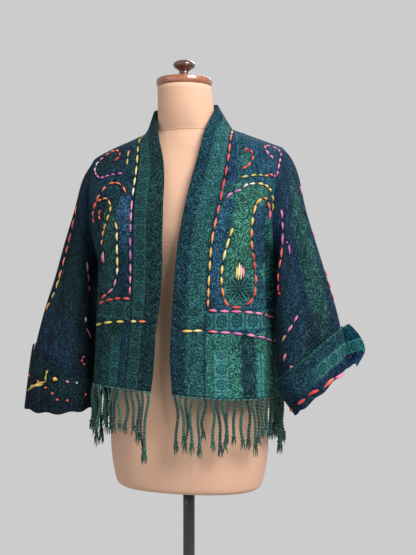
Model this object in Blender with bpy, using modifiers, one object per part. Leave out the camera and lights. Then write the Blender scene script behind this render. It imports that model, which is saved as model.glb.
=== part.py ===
"""Short open jacket cut from a fringed woven shawl, on a limbless dress form.

Metres, +Z up. The jacket's front faces -Y, and the wearer's left is +X. The origin is the middle of the
stand's underside. The cloth is worked out as one continuous surface from the tables below, then parted
into its cut pieces at the seams.
"""
import math

import bpy
import numpy as np

for leftover in list(bpy.data.objects):
    bpy.data.objects.remove(leftover, do_unlink=True)

# Cloth and seams
CLOTH = 0.002
SEAM_GAP = 0.0003
MEETING_DISTANCE = 0.0001     # points closer than this are one point of a seam
CUTS = 3                      # grid steps between two levels of a table
ARMHOLE_LEVELS = 5            # the armhole runs from level 0 (shoulder) to this level (underarm)
FRONT_COLUMNS = 7
NECK_STEPS = 2                # grid steps between two points of the back neckline
BAND_COLUMNS = 3
ROUND_ROW = 0.72              # fullness of a row's corner, 0.7 being a true quarter ellipse

# The body of the jacket, level by level from the shoulder seam down to the hem. "seam" is where the band
# is sewn on, "edge" the band's free edge, "corner" pulls the row round, and "side" is the armhole and,
# below it, the side seam.
LEVEL_COLUMNS = ("seam_y", "seam_z", "edge_y", "edge_z", "corner_x", "corner_y",
                 "side_x", "side_y", "side_z", "back_y", "back_side_y")
LEVELS = (
    (0.000, 1.360, -0.026, 1.403, 0.152, 0.002, 0.205, 0.004, 1.318, 0.063, 0.004),   # shoulder
    (-0.052, 1.335, -0.071, 1.352, 0.174, -0.060, 0.211, -0.032, 1.298, 0.086, 0.040),  # collarbone
    (-0.092, 1.275, -0.099, 1.278, 0.190, -0.098, 0.208, -0.056, 1.250, 0.104, 0.064),  # upper chest
    (-0.122, 1.200, -0.130, 1.201, 0.199, -0.125, 0.203, -0.064, 1.185, 0.113, 0.072),  # chest
    (-0.135, 1.125, -0.143, 1.125, 0.200, -0.136, 0.199, -0.048, 1.120, 0.116, 0.056),  # bust
    (-0.139, 1.055, -0.147, 1.055, 0.200, -0.140, 0.196, 0.000, 1.075, 0.116, 0.000),   # underarm
    (-0.141, 0.975, -0.149, 0.975, 0.201, -0.142, 0.197, 0.000, 0.985, 0.117, 0.000),   # waist
    (-0.142, 0.890, -0.151, 0.890, 0.204, -0.143, 0.198, 0.000, 0.893, 0.120, 0.000),   # hip
    (-0.142, 0.803, -0.152, 0.803, 0.208, -0.143, 0.201, 0.000, 0.803, 0.124, 0.000),   # hem
)
# How far the band's seam and its free edge lie from the middle, for each wearer's side.
OPENING_COLUMNS = ("left_seam", "left_edge", "right_seam", "right_edge")
OPENING = (
    (0.097, 0.070, 0.097, 0.070),
    (0.107, 0.060, 0.092, 0.044),
    (0.111, 0.049, 0.081, 0.021),
    (0.105, 0.038, 0.079, 0.011),
    (0.093, 0.027, 0.077, 0.007),
    (0.088, 0.021, 0.075, 0.007),
    (0.085, 0.016, 0.077, 0.013),
    (0.083, 0.012, 0.083, 0.021),
    (0.084, 0.016, 0.091, 0.029),
)
# Back neckline from behind the shoulder to the centre back: seam point and free edge of the standing band.
NECK_COLUMNS = ("seam_x", "seam_y", "seam_z", "edge_x", "edge_y", "edge_z")
NECK = (
    (0.083, 0.034, 1.368, 0.068, 0.008, 1.417),
    (0.047, 0.055, 1.372, 0.045, 0.038, 1.421),
    (0.000, 0.063, 1.373, 0.000, 0.050, 1.422),
)
HEM_RISE = 0.020              # the hem hangs this much higher on the wearer's right
RISE_WIDTH = 0.360            # the rise grows over this width
RISE_TOP = 1.200              # and from this height
RISE_LENGTH = 0.400           # over this length down
BAND_BOW = 0.004              # the band is slightly rounded across
BACK_TOP_SHARE = 4            # the back's top quarter takes up the shape of the neck and shoulders

# Large folds of the body: where across the panel (0 seam, 1 side), how wide, from which height to
# which, how deep, and how far it drifts across on its way down. A negative depth is a trough.
FOLD_COLUMNS = ("across", "width", "top_z", "low_z", "depth", "slant")
FOLD_FADE_IN = 0.35           # share of a fold's length over which it deepens
FOLD_FADE_OUT = 0.30          # and over which it dies away, past its low end
FOLD_OVERRUN = 0.12
EDGE_CALM = (0.12, 0.10)      # the panel is free of folds this close to its two long edges
BACK_RIGHT_FOLDS = 0.6        # the back's folds are shallower on the wearer's right
LEFT_FOLDS = (
    (0.80, 0.070, 1.235, 0.960, -0.016, 0.02),
    (0.62, 0.060, 1.215, 0.800, 0.004, 0.03),
    (0.34, 0.110, 1.120, 0.780, -0.006, -0.03),
)
RIGHT_FOLDS = (
    (0.78, 0.080, 1.225, 0.900, -0.014, 0.02),
    (0.48, 0.100, 1.130, 0.780, 0.005, 0.02),
    (0.24, 0.090, 1.080, 0.780, -0.004, 0.00),
)
BACK_FOLDS = (
    (0.30, 0.090, 1.170, 0.780, -0.008, 0.02),
    (0.58, 0.090, 1.150, 0.780, 0.010, -0.02),
    (0.82, 0.060, 1.220, 0.930, -0.014, 0.02),
)

# Sleeves, ring by ring: the ring's highest point (over the arm) and lowest (under it), its middle from
# front to back, half its depth, and how much lower its front hangs than its back.
RING_COLUMNS = ("top_x", "top_z", "under_x", "under_z", "middle_y", "half_depth", "front_drop")
LEFT_RINGS = (
    (0.222, 1.298, 0.2085, 1.055, 0.001, 0.066, 0.000),
    (0.239, 1.262, 0.2090, 1.028, -0.004, 0.062, 0.001),
    (0.257, 1.190, 0.2050, 0.985, -0.013, 0.056, 0.003),
    (0.279, 1.122, 0.2035, 0.944, -0.023, 0.052, 0.005),
    (0.302, 1.046, 0.2040, 0.900, -0.033, 0.051, 0.007),
    (0.321, 0.978, 0.2070, 0.858, -0.041, 0.052, 0.010),
    (0.336, 0.920, 0.2160, 0.818, -0.047, 0.054, 0.012),
    (0.350, 0.866, 0.2480, 0.774, -0.051, 0.056, 0.013),
)
RIGHT_RINGS = (
    (0.222, 1.298, 0.2085, 1.055, 0.001, 0.066, 0.000),
    (0.240, 1.266, 0.2120, 1.028, -0.004, 0.062, 0.001),
    (0.255, 1.202, 0.2100, 0.988, -0.014, 0.058, 0.002),
    (0.274, 1.130, 0.2080, 0.948, -0.026, 0.056, 0.003),
    (0.293, 1.052, 0.2070, 0.910, -0.037, 0.055, 0.004),
    (0.316, 0.975, 0.2060, 0.872, -0.046, 0.055, 0.006),
    (0.337, 0.885, 0.2060, 0.824, -0.053, 0.055, 0.008),
    (0.355, 0.768, 0.2060, 0.766, -0.058, 0.055, 0.010),
)
SLEEVE_CUTS = 2
SLEEVE_FADE_IN = 0.40         # as for the body's folds
SLEEVE_FADE_OUT = 0.50
SLEEVE_OVERRUN = 0.35
# Sleeve folds: angle round the sleeve from its top over the front, width, ring span, depth.
SLEEVE_FOLD_COLUMNS = ("angle", "width", "from_ring", "to_ring", "depth")
SLEEVE_FOLDS = (
    (62.0, 16.0, 1.0, 7.5, -0.008),
    (112.0, 18.0, 2.0, 8.0, 0.006),
    (255.0, 20.0, 1.0, 8.0, -0.008),
)
# Cuffs: depth of the turn-up in sleeve rings, half the slit in degrees, and the flare of its back flap.
# The turn-up stands off the sleeve by the first distance at its fold and the second at its free edge.
CUFF_STAND_OFF = (0.0008, 0.0045)
CUFF_ROWS = 4
CUFF_CUTS = 8                 # steps between two rings from which the cuff's rows are picked
CUFF_TROUGH = 0.002           # the cuff follows the sleeve's troughs no deeper than this
FLARE_FROM = 250.0            # the flap starts to flare at this angle round the sleeve
FLARE_OVER = 90.0
FLARE_AT_ENDS = 0.3           # share of the flare left at the flap's fold and free edge
LEFT_CUFF = {"depth": 1.50, "slit": 5.0, "flare": 0.038}
RIGHT_CUFF = {"depth": 1.15, "slit": 4.0, "flare": 0.004}

# Fringe
STRIP_HEIGHT = 0.004
STRAND_SPACING = 0.0165
STRAND_RADIUS = (0.0026, 0.0015)
STRAND_SIDES = 3
STRAND_STEPS = 4
# Strand lengths from the side seam to the band's free edge, and in turn along the back.
LEFT_STRANDS = (0.096, 0.090, 0.094, 0.086, 0.080, 0.104, 0.114, 0.110, 0.112, 0.086, 0.126, 0.128, 0.112,
                0.118, 0.130)
RIGHT_STRANDS = (0.140, 0.146, 0.128, 0.104, 0.098, 0.102, 0.106, 0.112, 0.118, 0.150, 0.158)
BACK_STRANDS = (0.128, 0.104, 0.116, 0.132, 0.096, 0.108, 0.092, 0.122, 0.100, 0.112)
STRAND_SWAY = (0.004, -0.003, 0.005, -0.005, 0.002, -0.004)
STRAND_WAVE = 0.9             # half waves in a strand's sway
STRAND_PHASE = 0.25           # where in its wave each third strand starts
SWAY_OUT = 0.6                # share of the sway that goes out from the cloth

# Dress form, from its underside up: height, middle, half width, depth to the front and to the back,
# and squareness of the section (2 is an ellipse).
FORM_COLUMNS = ("height", "middle_y", "half_width", "front", "back", "squareness")
FORM = (
    (0.600, 0.000, 0.150, 0.098, 0.092, 2.2),
    (0.612, 0.000, 0.161, 0.106, 0.101, 2.2),
    (0.670, 0.000, 0.172, 0.112, 0.108, 2.2),
    (0.750, 0.000, 0.173, 0.114, 0.110, 2.2),
    (0.830, 0.000, 0.164, 0.111, 0.104, 2.2),
    (0.910, 0.000, 0.146, 0.102, 0.094, 2.2),
    (0.985, 0.000, 0.128, 0.094, 0.088, 2.2),
    (1.060, 0.000, 0.137, 0.106, 0.092, 2.2),
    (1.140, 0.000, 0.154, 0.121, 0.097, 2.2),
    (1.200, 0.000, 0.164, 0.112, 0.100, 2.2),
    (1.250, 0.000, 0.177, 0.097, 0.096, 2.3),
    (1.285, 0.001, 0.184, 0.086, 0.086, 2.2),
    (1.308, 0.002, 0.177, 0.078, 0.076, 2.0),
    (1.326, 0.002, 0.150, 0.074, 0.066, 1.7),
    (1.342, 0.001, 0.119, 0.070, 0.059, 1.6),
    (1.356, -0.003, 0.084, 0.063, 0.056, 1.8),
    (1.372, -0.011, 0.066, 0.060, 0.057, 2.0),
    (1.405, -0.020, 0.0610, 0.0605, 0.0605, 2.0),
    (1.450, -0.031, 0.0575, 0.0575, 0.0575, 2.0),
)
FORM_SIDES = 36
NECK_TOP = FORM[-1][0]
NECK_TOP_Y = FORM[-1][1]

# Turned pieces: the profile's radius and height, from the axis at the top to the axis at the bottom.
PROFILE_COLUMNS = ("radius", "height")
CAP_PROFILE = (
    (0.0000, 0.0260),
    (0.0125, 0.0260),      # seat of the knob
    (0.0150, 0.0240),
    (0.0300, 0.0215),      # low dome
    (0.0460, 0.0185),
    (0.0570, 0.0159),
    (0.0588, 0.0128),
    (0.0595, 0.0085),      # widest
    (0.0588, 0.0043),
    (0.0570, 0.0011),
    (0.0535, 0.0000),
    (0.0000, 0.0000),
)
KNOB_PROFILE = (
    (0.0000, 0.0310),
    (0.0080, 0.0303),      # flattened ball
    (0.0151, 0.0283),
    (0.0204, 0.0253),
    (0.0231, 0.0215),
    (0.0231, 0.0175),
    (0.0204, 0.0138),
    (0.0151, 0.0107),
    (0.0105, 0.0065),      # stem
    (0.0105, 0.0030),
    (0.0120, 0.0000),
    (0.0000, 0.0000),
)
BASE_PROFILE = (
    (0.000, 0.024),
    (0.045, 0.024),        # seat of the pole
    (0.060, 0.018),
    (0.168, 0.013),
    (0.177, 0.010),
    (0.180, 0.006),        # rim
    (0.180, 0.000),
    (0.000, 0.000),
)
CAP_HEIGHT = CAP_PROFILE[0][1]
BASE_HEIGHT = BASE_PROFILE[0][1]
POLE_RADIUS = 0.0125
ROUND_STEPS = 24
SHARP_ANGLE = 50.0            # edges sharper than this, in degrees, are not shaded smooth

COLOURS = {
    "shawl": ((0.016, 0.075, 0.065), 0.85, 0.0),
    "shawl_edge": ((0.012, 0.090, 0.078), 0.85, 0.0),
    "fringe": ((0.010, 0.060, 0.048), 0.80, 0.0),
    "cover": ((0.80, 0.68, 0.52), 0.75, 0.0),
    "mahogany": ((0.16, 0.030, 0.010), 0.22, 0.0),
    "iron": ((0.03, 0.03, 0.03), 0.45, 1.0),
}

COLLECTION = bpy.data.collections.new("fringed_jacket")
bpy.context.scene.collection.children.link(COLLECTION)


def smooth(rows, cuts):
    """Points on the Catmull-Rom curve through the rows, with the same number of cuts between rows."""
    rows = np.asarray(rows, float)
    ends = np.vstack([2 * rows[0] - rows[1], rows, 2 * rows[-1] - rows[-2]])
    t = (np.arange(cuts) / cuts)[:, None]
    pieces = []
    for before, start, stop, after in zip(ends, ends[1:], ends[2:], ends[3:]):
        pieces.append(start + 0.5 * t * (stop - before)
                      + t ** 2 * (before - 2.5 * start + 2 * stop - 0.5 * after)
                      + t ** 3 * (-0.5 * before + 1.5 * start - 1.5 * stop + 0.5 * after))
    return np.vstack(pieces + [rows[-1:]])


def columns(rows, names, cuts):
    """The table's smoothed columns, by name."""
    return dict(zip(names, smooth(rows, cuts).T))


def body_levels():
    """The body's smoothed levels; below the underarm the side seam keeps to the middle of the side."""
    level = columns(LEVELS, LEVEL_COLUMNS, CUTS)
    for name in ("side_y", "back_side_y"):
        level[name][ARMHOLE_LEVELS * CUTS:] = 0.0
    return level


def step(x):
    """Smooth step from 0 to 1 as x goes from 0 to 1."""
    x = np.clip(x, 0.0, 1.0)
    return x * x * (3 - 2 * x)


def unit(vectors):
    """The vectors, each scaled to length 1."""
    return vectors / np.maximum(np.linalg.norm(vectors, axis=-1, keepdims=True), 1e-12)


def stack(x, y, z):
    """One array of points from three arrays of coordinates."""
    return np.stack(np.broadcast_arrays(x, y, z), axis=-1)


class Panel:
    """A cut piece: a grid of outer points, closed across its columns if it is a tube."""

    def __init__(self, name, points, group, tube=False, flip=False):
        self.name = name
        self.points = points
        self.group = group
        self.tube = tube
        self.flip = flip
        self.normals = self.own_normals()

    def own_normals(self):
        """Outward normals: the cross product of the grid's two directions at each point."""
        down = np.gradient(self.points, axis=0)
        if self.tube:
            along = np.roll(self.points, -1, axis=1) - np.roll(self.points, 1, axis=1)
        else:
            along = np.gradient(self.points, axis=1)
        normals = unit(np.cross(down, along))
        return -normals if self.flip else normals

    def push(self, distance):
        """Moves each point out along its normal, in metres."""
        self.points = self.points + self.normals * distance[..., None]
        self.normals = self.own_normals()


def share_normals(panels):
    """Points of several panels that lie together get one normal, each group counting once."""
    meeting = {}
    for panel in panels:
        for index in np.ndindex(panel.points.shape[:2]):
            key = tuple(np.round(panel.points[index] / MEETING_DISTANCE + 0.137).astype(int))
            meeting.setdefault(key, []).append((panel, index))
    for visits in meeting.values():
        if len(visits) < 2:
            continue
        groups = {}
        for panel, index in visits:
            groups.setdefault(panel.group, []).append(panel.normals[index])
        total = sum(unit(sum(normals)) for normals in groups.values())
        for panel, index in visits:
            panel.normals[index] = unit(total)


def part_seam(panel, side):
    """How far the grid's points move so that the named side stands half a seam gap back."""
    shift = np.zeros_like(panel.points)
    rows, inner, axis = {
        "top": ((0, slice(None)), (1, slice(None)), 0),
        "bottom": ((-1, slice(None)), (-2, slice(None)), 0),
        "first": ((slice(None), 0), (slice(None), 1), 0),
        "last": ((slice(None), -1), (slice(None), -2), 0),
    }[side]
    edge = panel.points[rows]
    if panel.tube:
        along = np.roll(edge, -1, axis=0) - np.roll(edge, 1, axis=0)
    else:
        along = np.gradient(edge, axis=axis)
    across = unit(np.cross(panel.normals[rows], along))
    facing = np.sum(across * (panel.points[inner] - edge), axis=-1, keepdims=True)
    shift[rows] = across * np.where(facing < 0, -1, 1) * SEAM_GAP / 2
    return shift


def material(finish):
    """The finish's Principled material, made once."""
    if finish in bpy.data.materials:
        return bpy.data.materials[finish]
    colour, roughness, metallic = COLOURS[finish]
    made = bpy.data.materials.new(finish)
    made.use_nodes = True
    shader = made.node_tree.nodes["Principled BSDF"]
    shader.inputs["Base Color"].default_value = (*colour, 1.0)
    shader.inputs["Roughness"].default_value = roughness
    shader.inputs["Metallic"].default_value = metallic
    return made


def add_mesh(name, points, faces, finish):
    """A named object of these points and faces, in the jacket's collection."""
    mesh = bpy.data.meshes.new(name)
    mesh.from_pydata([tuple(point) for point in points], [], faces)
    mesh.validate()
    mesh.shade_smooth()
    mesh.set_sharp_from_angle(angle=math.radians(SHARP_ANGLE))
    mesh.materials.append(material(finish))
    made = bpy.data.objects.new(name, mesh)
    COLLECTION.objects.link(made)
    return made


def rim_faces(a, b, inward, outer):
    """The rim between outer points a and b, split the same way whichever piece it belongs to."""
    run = outer[b] - outer[a]
    if run[np.argmax(np.abs(run))] > 0:
        return (a, b, a + inward), (b, b + inward, a + inward)
    return (a, b, b + inward), (a, b + inward, a + inward)


def wall(panel, seams, finish):
    """The panel as a closed wall: outer grid, inner grid one cloth thickness in, and the rim."""
    outer = panel.points + sum(part_seam(panel, side) for side in seams)
    inner = outer - panel.normals * CLOTH
    rows, cols = outer.shape[:2]
    number = np.arange(rows * cols).reshape(rows, cols)
    spans = cols if panel.tube else cols - 1
    faces = []
    for i in range(rows - 1):
        for j in range(spans):
            k = (j + 1) % cols
            quad = (number[i, j], number[i + 1, j], number[i + 1, k], number[i, k])
            outward = quad[::-1] if panel.flip else quad
            faces.append(outward)
            faces.append(tuple(n + rows * cols for n in outward[::-1]))
    if panel.tube:
        rims = [list(number[0]) + [number[0, 0]], (list(number[-1]) + [number[-1, 0]])[::-1]]
    else:
        rims = [list(number[0]) + list(number[1:, -1]) + list(number[-1, -2::-1])
                + list(number[-2::-1, 0])]
    for rim in rims:
        for a, b in zip(rim, rim[1:]):
            for face in rim_faces(a, b, rows * cols, outer.reshape(-1, 3)):
                faces.append(face[::-1] if panel.flip else face)
    faces = [tuple(int(n) for n in face) for face in faces]
    return add_mesh(panel.name, np.vstack([outer.reshape(-1, 3), inner.reshape(-1, 3)]), faces, finish)


def arc_rows(start, corner, stop, across):
    """Each row as a conic arc from start to stop, pulled towards its corner by ROUND_ROW."""
    s = across[None, :, None]
    first, last, pull = (1 - s) ** 2, s ** 2, 2 * ROUND_ROW * s * (1 - s)
    start, corner, stop = start[:, None], corner[:, None], stop[:, None]
    return (first * start + pull * corner + last * stop) / (first + pull + last)


def settle(points):
    """The jacket hangs a little askew: the hem rises towards the wearer's right."""
    points = points.copy()
    towards_right = step(0.5 - points[..., 0] / RISE_WIDTH)
    below_chest = step((RISE_TOP - points[..., 2]) / RISE_LENGTH)
    points[..., 2] += HEM_RISE * towards_right * below_chest
    return points


def fold_depths(points, across, table):
    """Soft troughs and ridges that run down a panel, fading at their ends and at its seams."""
    depth = np.zeros(points.shape[:2])
    z = points[..., 2]
    for row in table:
        fold = dict(zip(FOLD_COLUMNS, row))
        down = (fold["top_z"] - z) / (fold["top_z"] - fold["low_z"])
        centre = fold["across"] + fold["slant"] * down
        profile = np.exp(-((across[None, :] - centre) / fold["width"]) ** 2)
        reach = step(down / FOLD_FADE_IN) * step((1 + FOLD_OVERRUN - down) / FOLD_FADE_OUT)
        depth += fold["depth"] * profile * reach
    calm = step(across / EDGE_CALM[0]) * step((1 - across) / EDGE_CALM[1])
    return depth * calm[None, :]


def mirrored(points, side):
    """The points on the wearer's left as given, or mirrored to the right where side is -1."""
    return points * np.array([side, 1.0, 1.0])


def front_panel(side):
    """The front of one side: rows run from the band's seam round to the armhole and side seam."""
    level = body_levels()
    opening = columns(OPENING, OPENING_COLUMNS, CUTS)
    seam_x = opening["left_seam" if side > 0 else "right_seam"]
    seam = stack(seam_x, level["seam_y"], level["seam_z"])
    edge = stack(level["side_x"], level["side_y"], level["side_z"])
    corner = stack(level["corner_x"], level["corner_y"], (level["seam_z"] + level["side_z"]) / 2)
    across = np.linspace(0, 1, FRONT_COLUMNS + 1)
    points = settle(mirrored(arc_rows(seam, corner, edge, across), side))
    panel = Panel("jacket_front_" + ("left" if side > 0 else "right"), points, "body", flip=side < 0)
    panel.push(fold_depths(points, across, LEFT_FOLDS if side > 0 else RIGHT_FOLDS))
    return panel


def band(side, front):
    """The band: from the hem's end up the front, then round the back neck to its centre."""
    level = body_levels()
    opening = columns(OPENING, OPENING_COLUMNS, CUTS)
    edge_x = opening["left_edge" if side > 0 else "right_edge"]
    front_edge = stack(edge_x, level["edge_y"], level["edge_z"])[::-1]
    top_seam = mirrored(front.points[0, 0], side)
    neck = np.vstack([np.hstack([top_seam, front_edge[-1]]), np.array(NECK)])
    neck = smooth(neck, NECK_STEPS)[1:]
    seam = np.vstack([mirrored(front.points[::-1, 0], side), neck[:, :3]])
    edge = np.vstack([mirrored(settle(mirrored(front_edge, side)), side), neck[:, 3:]])
    across = np.linspace(0, 1, BAND_COLUMNS + 1)[None, :, None]
    points = mirrored(seam[:, None] * (1 - across) + edge[:, None] * across, side)
    panel = Panel("band_" + ("left" if side > 0 else "right"), points, "band", flip=side < 0)
    bow = BAND_BOW * 4 * across[0, :, 0] * (1 - across[0, :, 0])
    panel.push(np.broadcast_to(bow, points.shape[:2]).copy())
    return panel


def back_half(side, front, neck_seam):
    """Half of the back: its top follows the neckline and the shoulder seam, then fades to plain rows."""
    level = body_levels()
    middle = stack(0.0, level["back_y"], level["seam_z"])
    middle[0, 2] = dict(zip(NECK_COLUMNS, NECK[-1]))["seam_z"]
    edge = stack(level["side_x"], level["back_side_y"], level["side_z"])
    corner = stack(level["corner_x"], level["back_y"], (middle[:, 2] + level["side_z"]) / 2)
    count = len(neck_seam) - 1 + FRONT_COLUMNS
    across = np.linspace(0, 1, count + 1)
    rows = arc_rows(middle, corner, edge, across)
    top = np.vstack([neck_seam[::-1], mirrored(front.points[0, 1:], side)])
    fade = (1 - np.clip(np.linspace(0, BACK_TOP_SHARE, len(rows)), 0, 1)) ** 2
    rows = rows + (top - rows[0])[None] * fade[:, None, None]
    return settle(mirrored(rows, side)), across


def back_panel(fronts, bands):
    """The whole back in one piece, from the wearer's left side seam to the right."""
    halves = []
    for side in (1, -1):
        seam_rows = len(fronts[side].points) - 1
        neck_seam = mirrored(bands[side].points[seam_rows:, 0], side)
        halves.append(back_half(side, fronts[side], neck_seam))
    (left, across), (right, _) = halves
    points = np.concatenate([left[:, ::-1], right[:, 1:]], axis=1)
    panel = Panel("jacket_back", points, "body")
    folds = fold_depths(points, np.concatenate([across[::-1], across[1:]]), BACK_FOLDS)
    panel.push(folds * np.where(points[..., 0] < 0, BACK_RIGHT_FOLDS, 1.0))
    return panel


def armhole(front, back, side):
    """The armhole as a closed ring: down the front from the shoulder, then up the back."""
    count = ARMHOLE_LEVELS * CUTS
    front_edge = front.points[:count + 1, -1]
    back_edge = back.points[:count + 1, 0 if side > 0 else -1]
    return np.vstack([front_edge, back_edge[count - 1:0:-1]])


def ring_points(table, angles, side):
    """Ellipses leaning in the sleeve's own direction; angle 0 is over the arm, a quarter turn is front."""
    ring = dict(zip(RING_COLUMNS, np.array(table).T))
    top = np.stack([ring["top_x"], ring["top_z"]], axis=-1)
    under = np.stack([ring["under_x"], ring["under_z"]], axis=-1)
    centre, reach = (top + under) / 2, (top - under) / 2
    c, s = np.cos(angles)[None, :], np.sin(angles)[None, :]
    x = centre[:, :1] + reach[:, :1] * c
    z = centre[:, 1:] + reach[:, 1:] * c - ring["front_drop"][:, None] * s
    y = ring["middle_y"][:, None] - ring["half_depth"][:, None] * s
    return mirrored(stack(x, y, z), side)


def sleeve(side, ring0):
    """A tube from the armhole through the table's rings to the end that is turned back."""
    table = LEFT_RINGS if side > 0 else RIGHT_RINGS
    angles = np.linspace(0, 2 * math.pi, len(ring0), endpoint=False)
    rings = ring_points(table, angles, side)
    flat = np.concatenate([ring0[None], rings]).reshape(len(table) + 1, -1)
    points = smooth(flat, SLEEVE_CUTS).reshape(-1, len(ring0), 3)
    panel = Panel("sleeve_" + ("left" if side > 0 else "right"), points, "sleeve", tube=True,
                  flip=side > 0)
    place = np.linspace(0, len(table), len(points))
    panel.push(sleeve_folds(place, angles))
    return panel


def sleeve_folds(rings, angles):
    """Soft lengthwise folds of a sleeve, fading in from the armhole."""
    depth = np.zeros((len(rings), len(angles)))
    for row in SLEEVE_FOLDS:
        fold = dict(zip(SLEEVE_FOLD_COLUMNS, row))
        off = np.degrees(angles) - fold["angle"]
        profile = np.exp(-(off / fold["width"]) ** 2)
        span = (rings - fold["from_ring"]) / (fold["to_ring"] - fold["from_ring"])
        reach = step(span / SLEEVE_FADE_IN) * step((1 + SLEEVE_OVERRUN - span) / SLEEVE_FADE_OUT)
        depth += fold["depth"] * reach[:, None] * profile[None, :]
    return depth


def cuff(side, tube):
    """The turned-back end: it lies on the sleeve, moved out, and is slit over the arm."""
    shape = LEFT_CUFF if side > 0 else RIGHT_CUFF
    table = LEFT_RINGS if side > 0 else RIGHT_RINGS
    slit = math.radians(shape["slit"])
    angles = np.linspace(slit, 2 * math.pi - slit, tube.points.shape[1] + 1)
    rings = ring_points(table, angles, side)
    fine = smooth(rings.reshape(len(table), -1), CUFF_CUTS).reshape(-1, len(angles), 3)
    place = np.linspace(len(table) - 1 - shape["depth"], len(table) - 1, CUFF_ROWS + 1)
    points = fine[np.round(place * CUFF_CUTS).astype(int)]
    panel = Panel("cuff_" + ("left" if side > 0 else "right"), points, "cuff", flip=side > 0)
    up = np.linspace(1, 0, CUFF_ROWS + 1)[:, None]
    near_back_edge = step((np.degrees(angles)[None, :] - FLARE_FROM) / FLARE_OVER)
    flare = FLARE_AT_ENDS + (1 - FLARE_AT_ENDS) * np.sin(math.pi * up)
    folds = np.maximum(sleeve_folds(place + 1, angles), -CUFF_TROUGH)
    stand = CLOTH + SEAM_GAP + CUFF_STAND_OFF[0] + (CUFF_STAND_OFF[1] - CUFF_STAND_OFF[0]) * up
    panel.push(folds + stand + shape["flare"] * near_back_edge * flare)
    return panel


def strand(root, along, out, length, sway, number):
    """One strand: a tapered square tube that leaves the strip and sways as it falls."""
    t = np.linspace(0, 1, STRAND_STEPS + 1)
    fall = np.array([0.0, 0.0, -1.0])
    start = STRAND_PHASE * (number % 3)
    curl = sway * (np.sin(math.pi * (STRAND_WAVE * t + start)) - math.sin(math.pi * start))
    path = root + fall * (length * t)[:, None] + (along + SWAY_OUT * out) * curl[:, None]
    radius = STRAND_RADIUS[0] + (STRAND_RADIUS[1] - STRAND_RADIUS[0]) * t
    turn = np.linspace(0, 2 * math.pi, STRAND_SIDES, endpoint=False) + math.pi / 4
    ring = along * np.cos(turn)[:, None] + out * np.sin(turn)[:, None]
    points = (path[:, None] + ring[None] * radius[:, None, None]).reshape(-1, 3)
    n = STRAND_SIDES
    faces = [tuple(range(n)), tuple(n * STRAND_STEPS + k for k in reversed(range(n)))]
    for i in range(STRAND_STEPS):
        for k in range(n):
            m = (k + 1) % n
            faces.append((i * n + k, (i + 1) * n + k, (i + 1) * n + m, i * n + m))
    return points, faces


def fringe(name, edge, normals, flip, seams, lengths):
    """A narrow strip just under the hem, with its strands fused into it by a union."""
    down = np.array([0.0, 0.0, -1.0])
    points = np.stack([edge + down * SEAM_GAP, edge + down * (SEAM_GAP + STRIP_HEIGHT)])
    strip_panel = Panel(name, points, "fringe", flip=flip)
    strip_panel.normals = np.stack([normals, normals])
    strip = wall(strip_panel, seams, "fringe")
    middle = edge - normals * CLOTH / 2 + down * (SEAM_GAP + STRIP_HEIGHT / 2)
    run = np.concatenate([[0], np.cumsum(np.linalg.norm(np.diff(middle, axis=0), axis=1))])
    count = int(run[-1] / STRAND_SPACING)
    all_points, all_faces = [], []
    for number in range(count):
        at = (number + 0.5) * run[-1] / count
        root = np.array([np.interp(at, run, middle[:, axis]) for axis in range(3)])
        ahead = np.array([np.interp(at + CLOTH, run, middle[:, axis]) for axis in range(3)])
        along = unit((ahead - root) * np.array([1, 1, 0]))
        out = np.cross(along, down)
        length = lengths[number % len(lengths)]
        sway = STRAND_SWAY[number % len(STRAND_SWAY)]
        strand_points, strand_faces = strand(root, along, out, length, sway, number)
        offset = sum(len(block) for block in all_points)
        all_points.append(strand_points)
        all_faces += [tuple(offset + n for n in face) for face in strand_faces]
    strands = add_mesh(name + "_strands", np.vstack(all_points), all_faces, "fringe")
    union = strip.modifiers.new("fuse the roots", "BOOLEAN")
    union.operation = "UNION"
    union.solver = "EXACT"
    union.object = strands
    bpy.context.view_layer.update()
    depsgraph = bpy.context.evaluated_depsgraph_get()
    fused = bpy.data.meshes.new_from_object(strip.evaluated_get(depsgraph))
    strip.modifiers.clear()
    strip.data = fused
    bpy.data.objects.remove(strands, do_unlink=True)
    return strip


def torso():
    """The padded form: egg-shaped sections from its flat underside to the top of the neck."""
    form = columns(FORM, FORM_COLUMNS, 1)
    turn = np.linspace(0, 2 * math.pi, FORM_SIDES, endpoint=False)
    c, s = np.cos(turn)[None, :], np.sin(turn)[None, :]
    power = 2 / form["squareness"][:, None]
    depth = np.where(s > 0, form["back"][:, None], form["front"][:, None])
    x = form["half_width"][:, None] * np.sign(c) * np.abs(c) ** power
    y = form["middle_y"][:, None] + depth * np.sign(s) * np.abs(s) ** power
    points = stack(x, y, form["height"][:, None]).reshape(-1, 3)
    rows = len(form["height"])
    faces = [tuple(reversed(range(FORM_SIDES))), tuple(range((rows - 1) * FORM_SIDES, rows * FORM_SIDES))]
    for i in range(rows - 1):
        for j in range(FORM_SIDES):
            k = (j + 1) % FORM_SIDES
            faces.append((i * FORM_SIDES + j, i * FORM_SIDES + k,
                          (i + 1) * FORM_SIDES + k, (i + 1) * FORM_SIDES + j))
    return add_mesh("form_torso", points, faces, "cover")


def turned(name, profile, place, finish):
    """A turned solid: its profile, from the axis at the top to the axis at the bottom, with Screw."""
    mesh = bpy.data.meshes.new(name)
    points = [(radius, 0.0, height) for radius, height in profile]
    mesh.from_pydata(points, [(i, i + 1) for i in range(len(points) - 1)], [])
    mesh.materials.append(material(finish))
    made = bpy.data.objects.new(name, mesh)
    made.location = place
    COLLECTION.objects.link(made)
    screw = made.modifiers.new("turn", "SCREW")
    screw.steps = ROUND_STEPS
    screw.render_steps = ROUND_STEPS
    screw.use_merge_vertices = True
    screw.merge_threshold = 0.00001
    screw.use_smooth_shade = True
    return made


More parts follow.
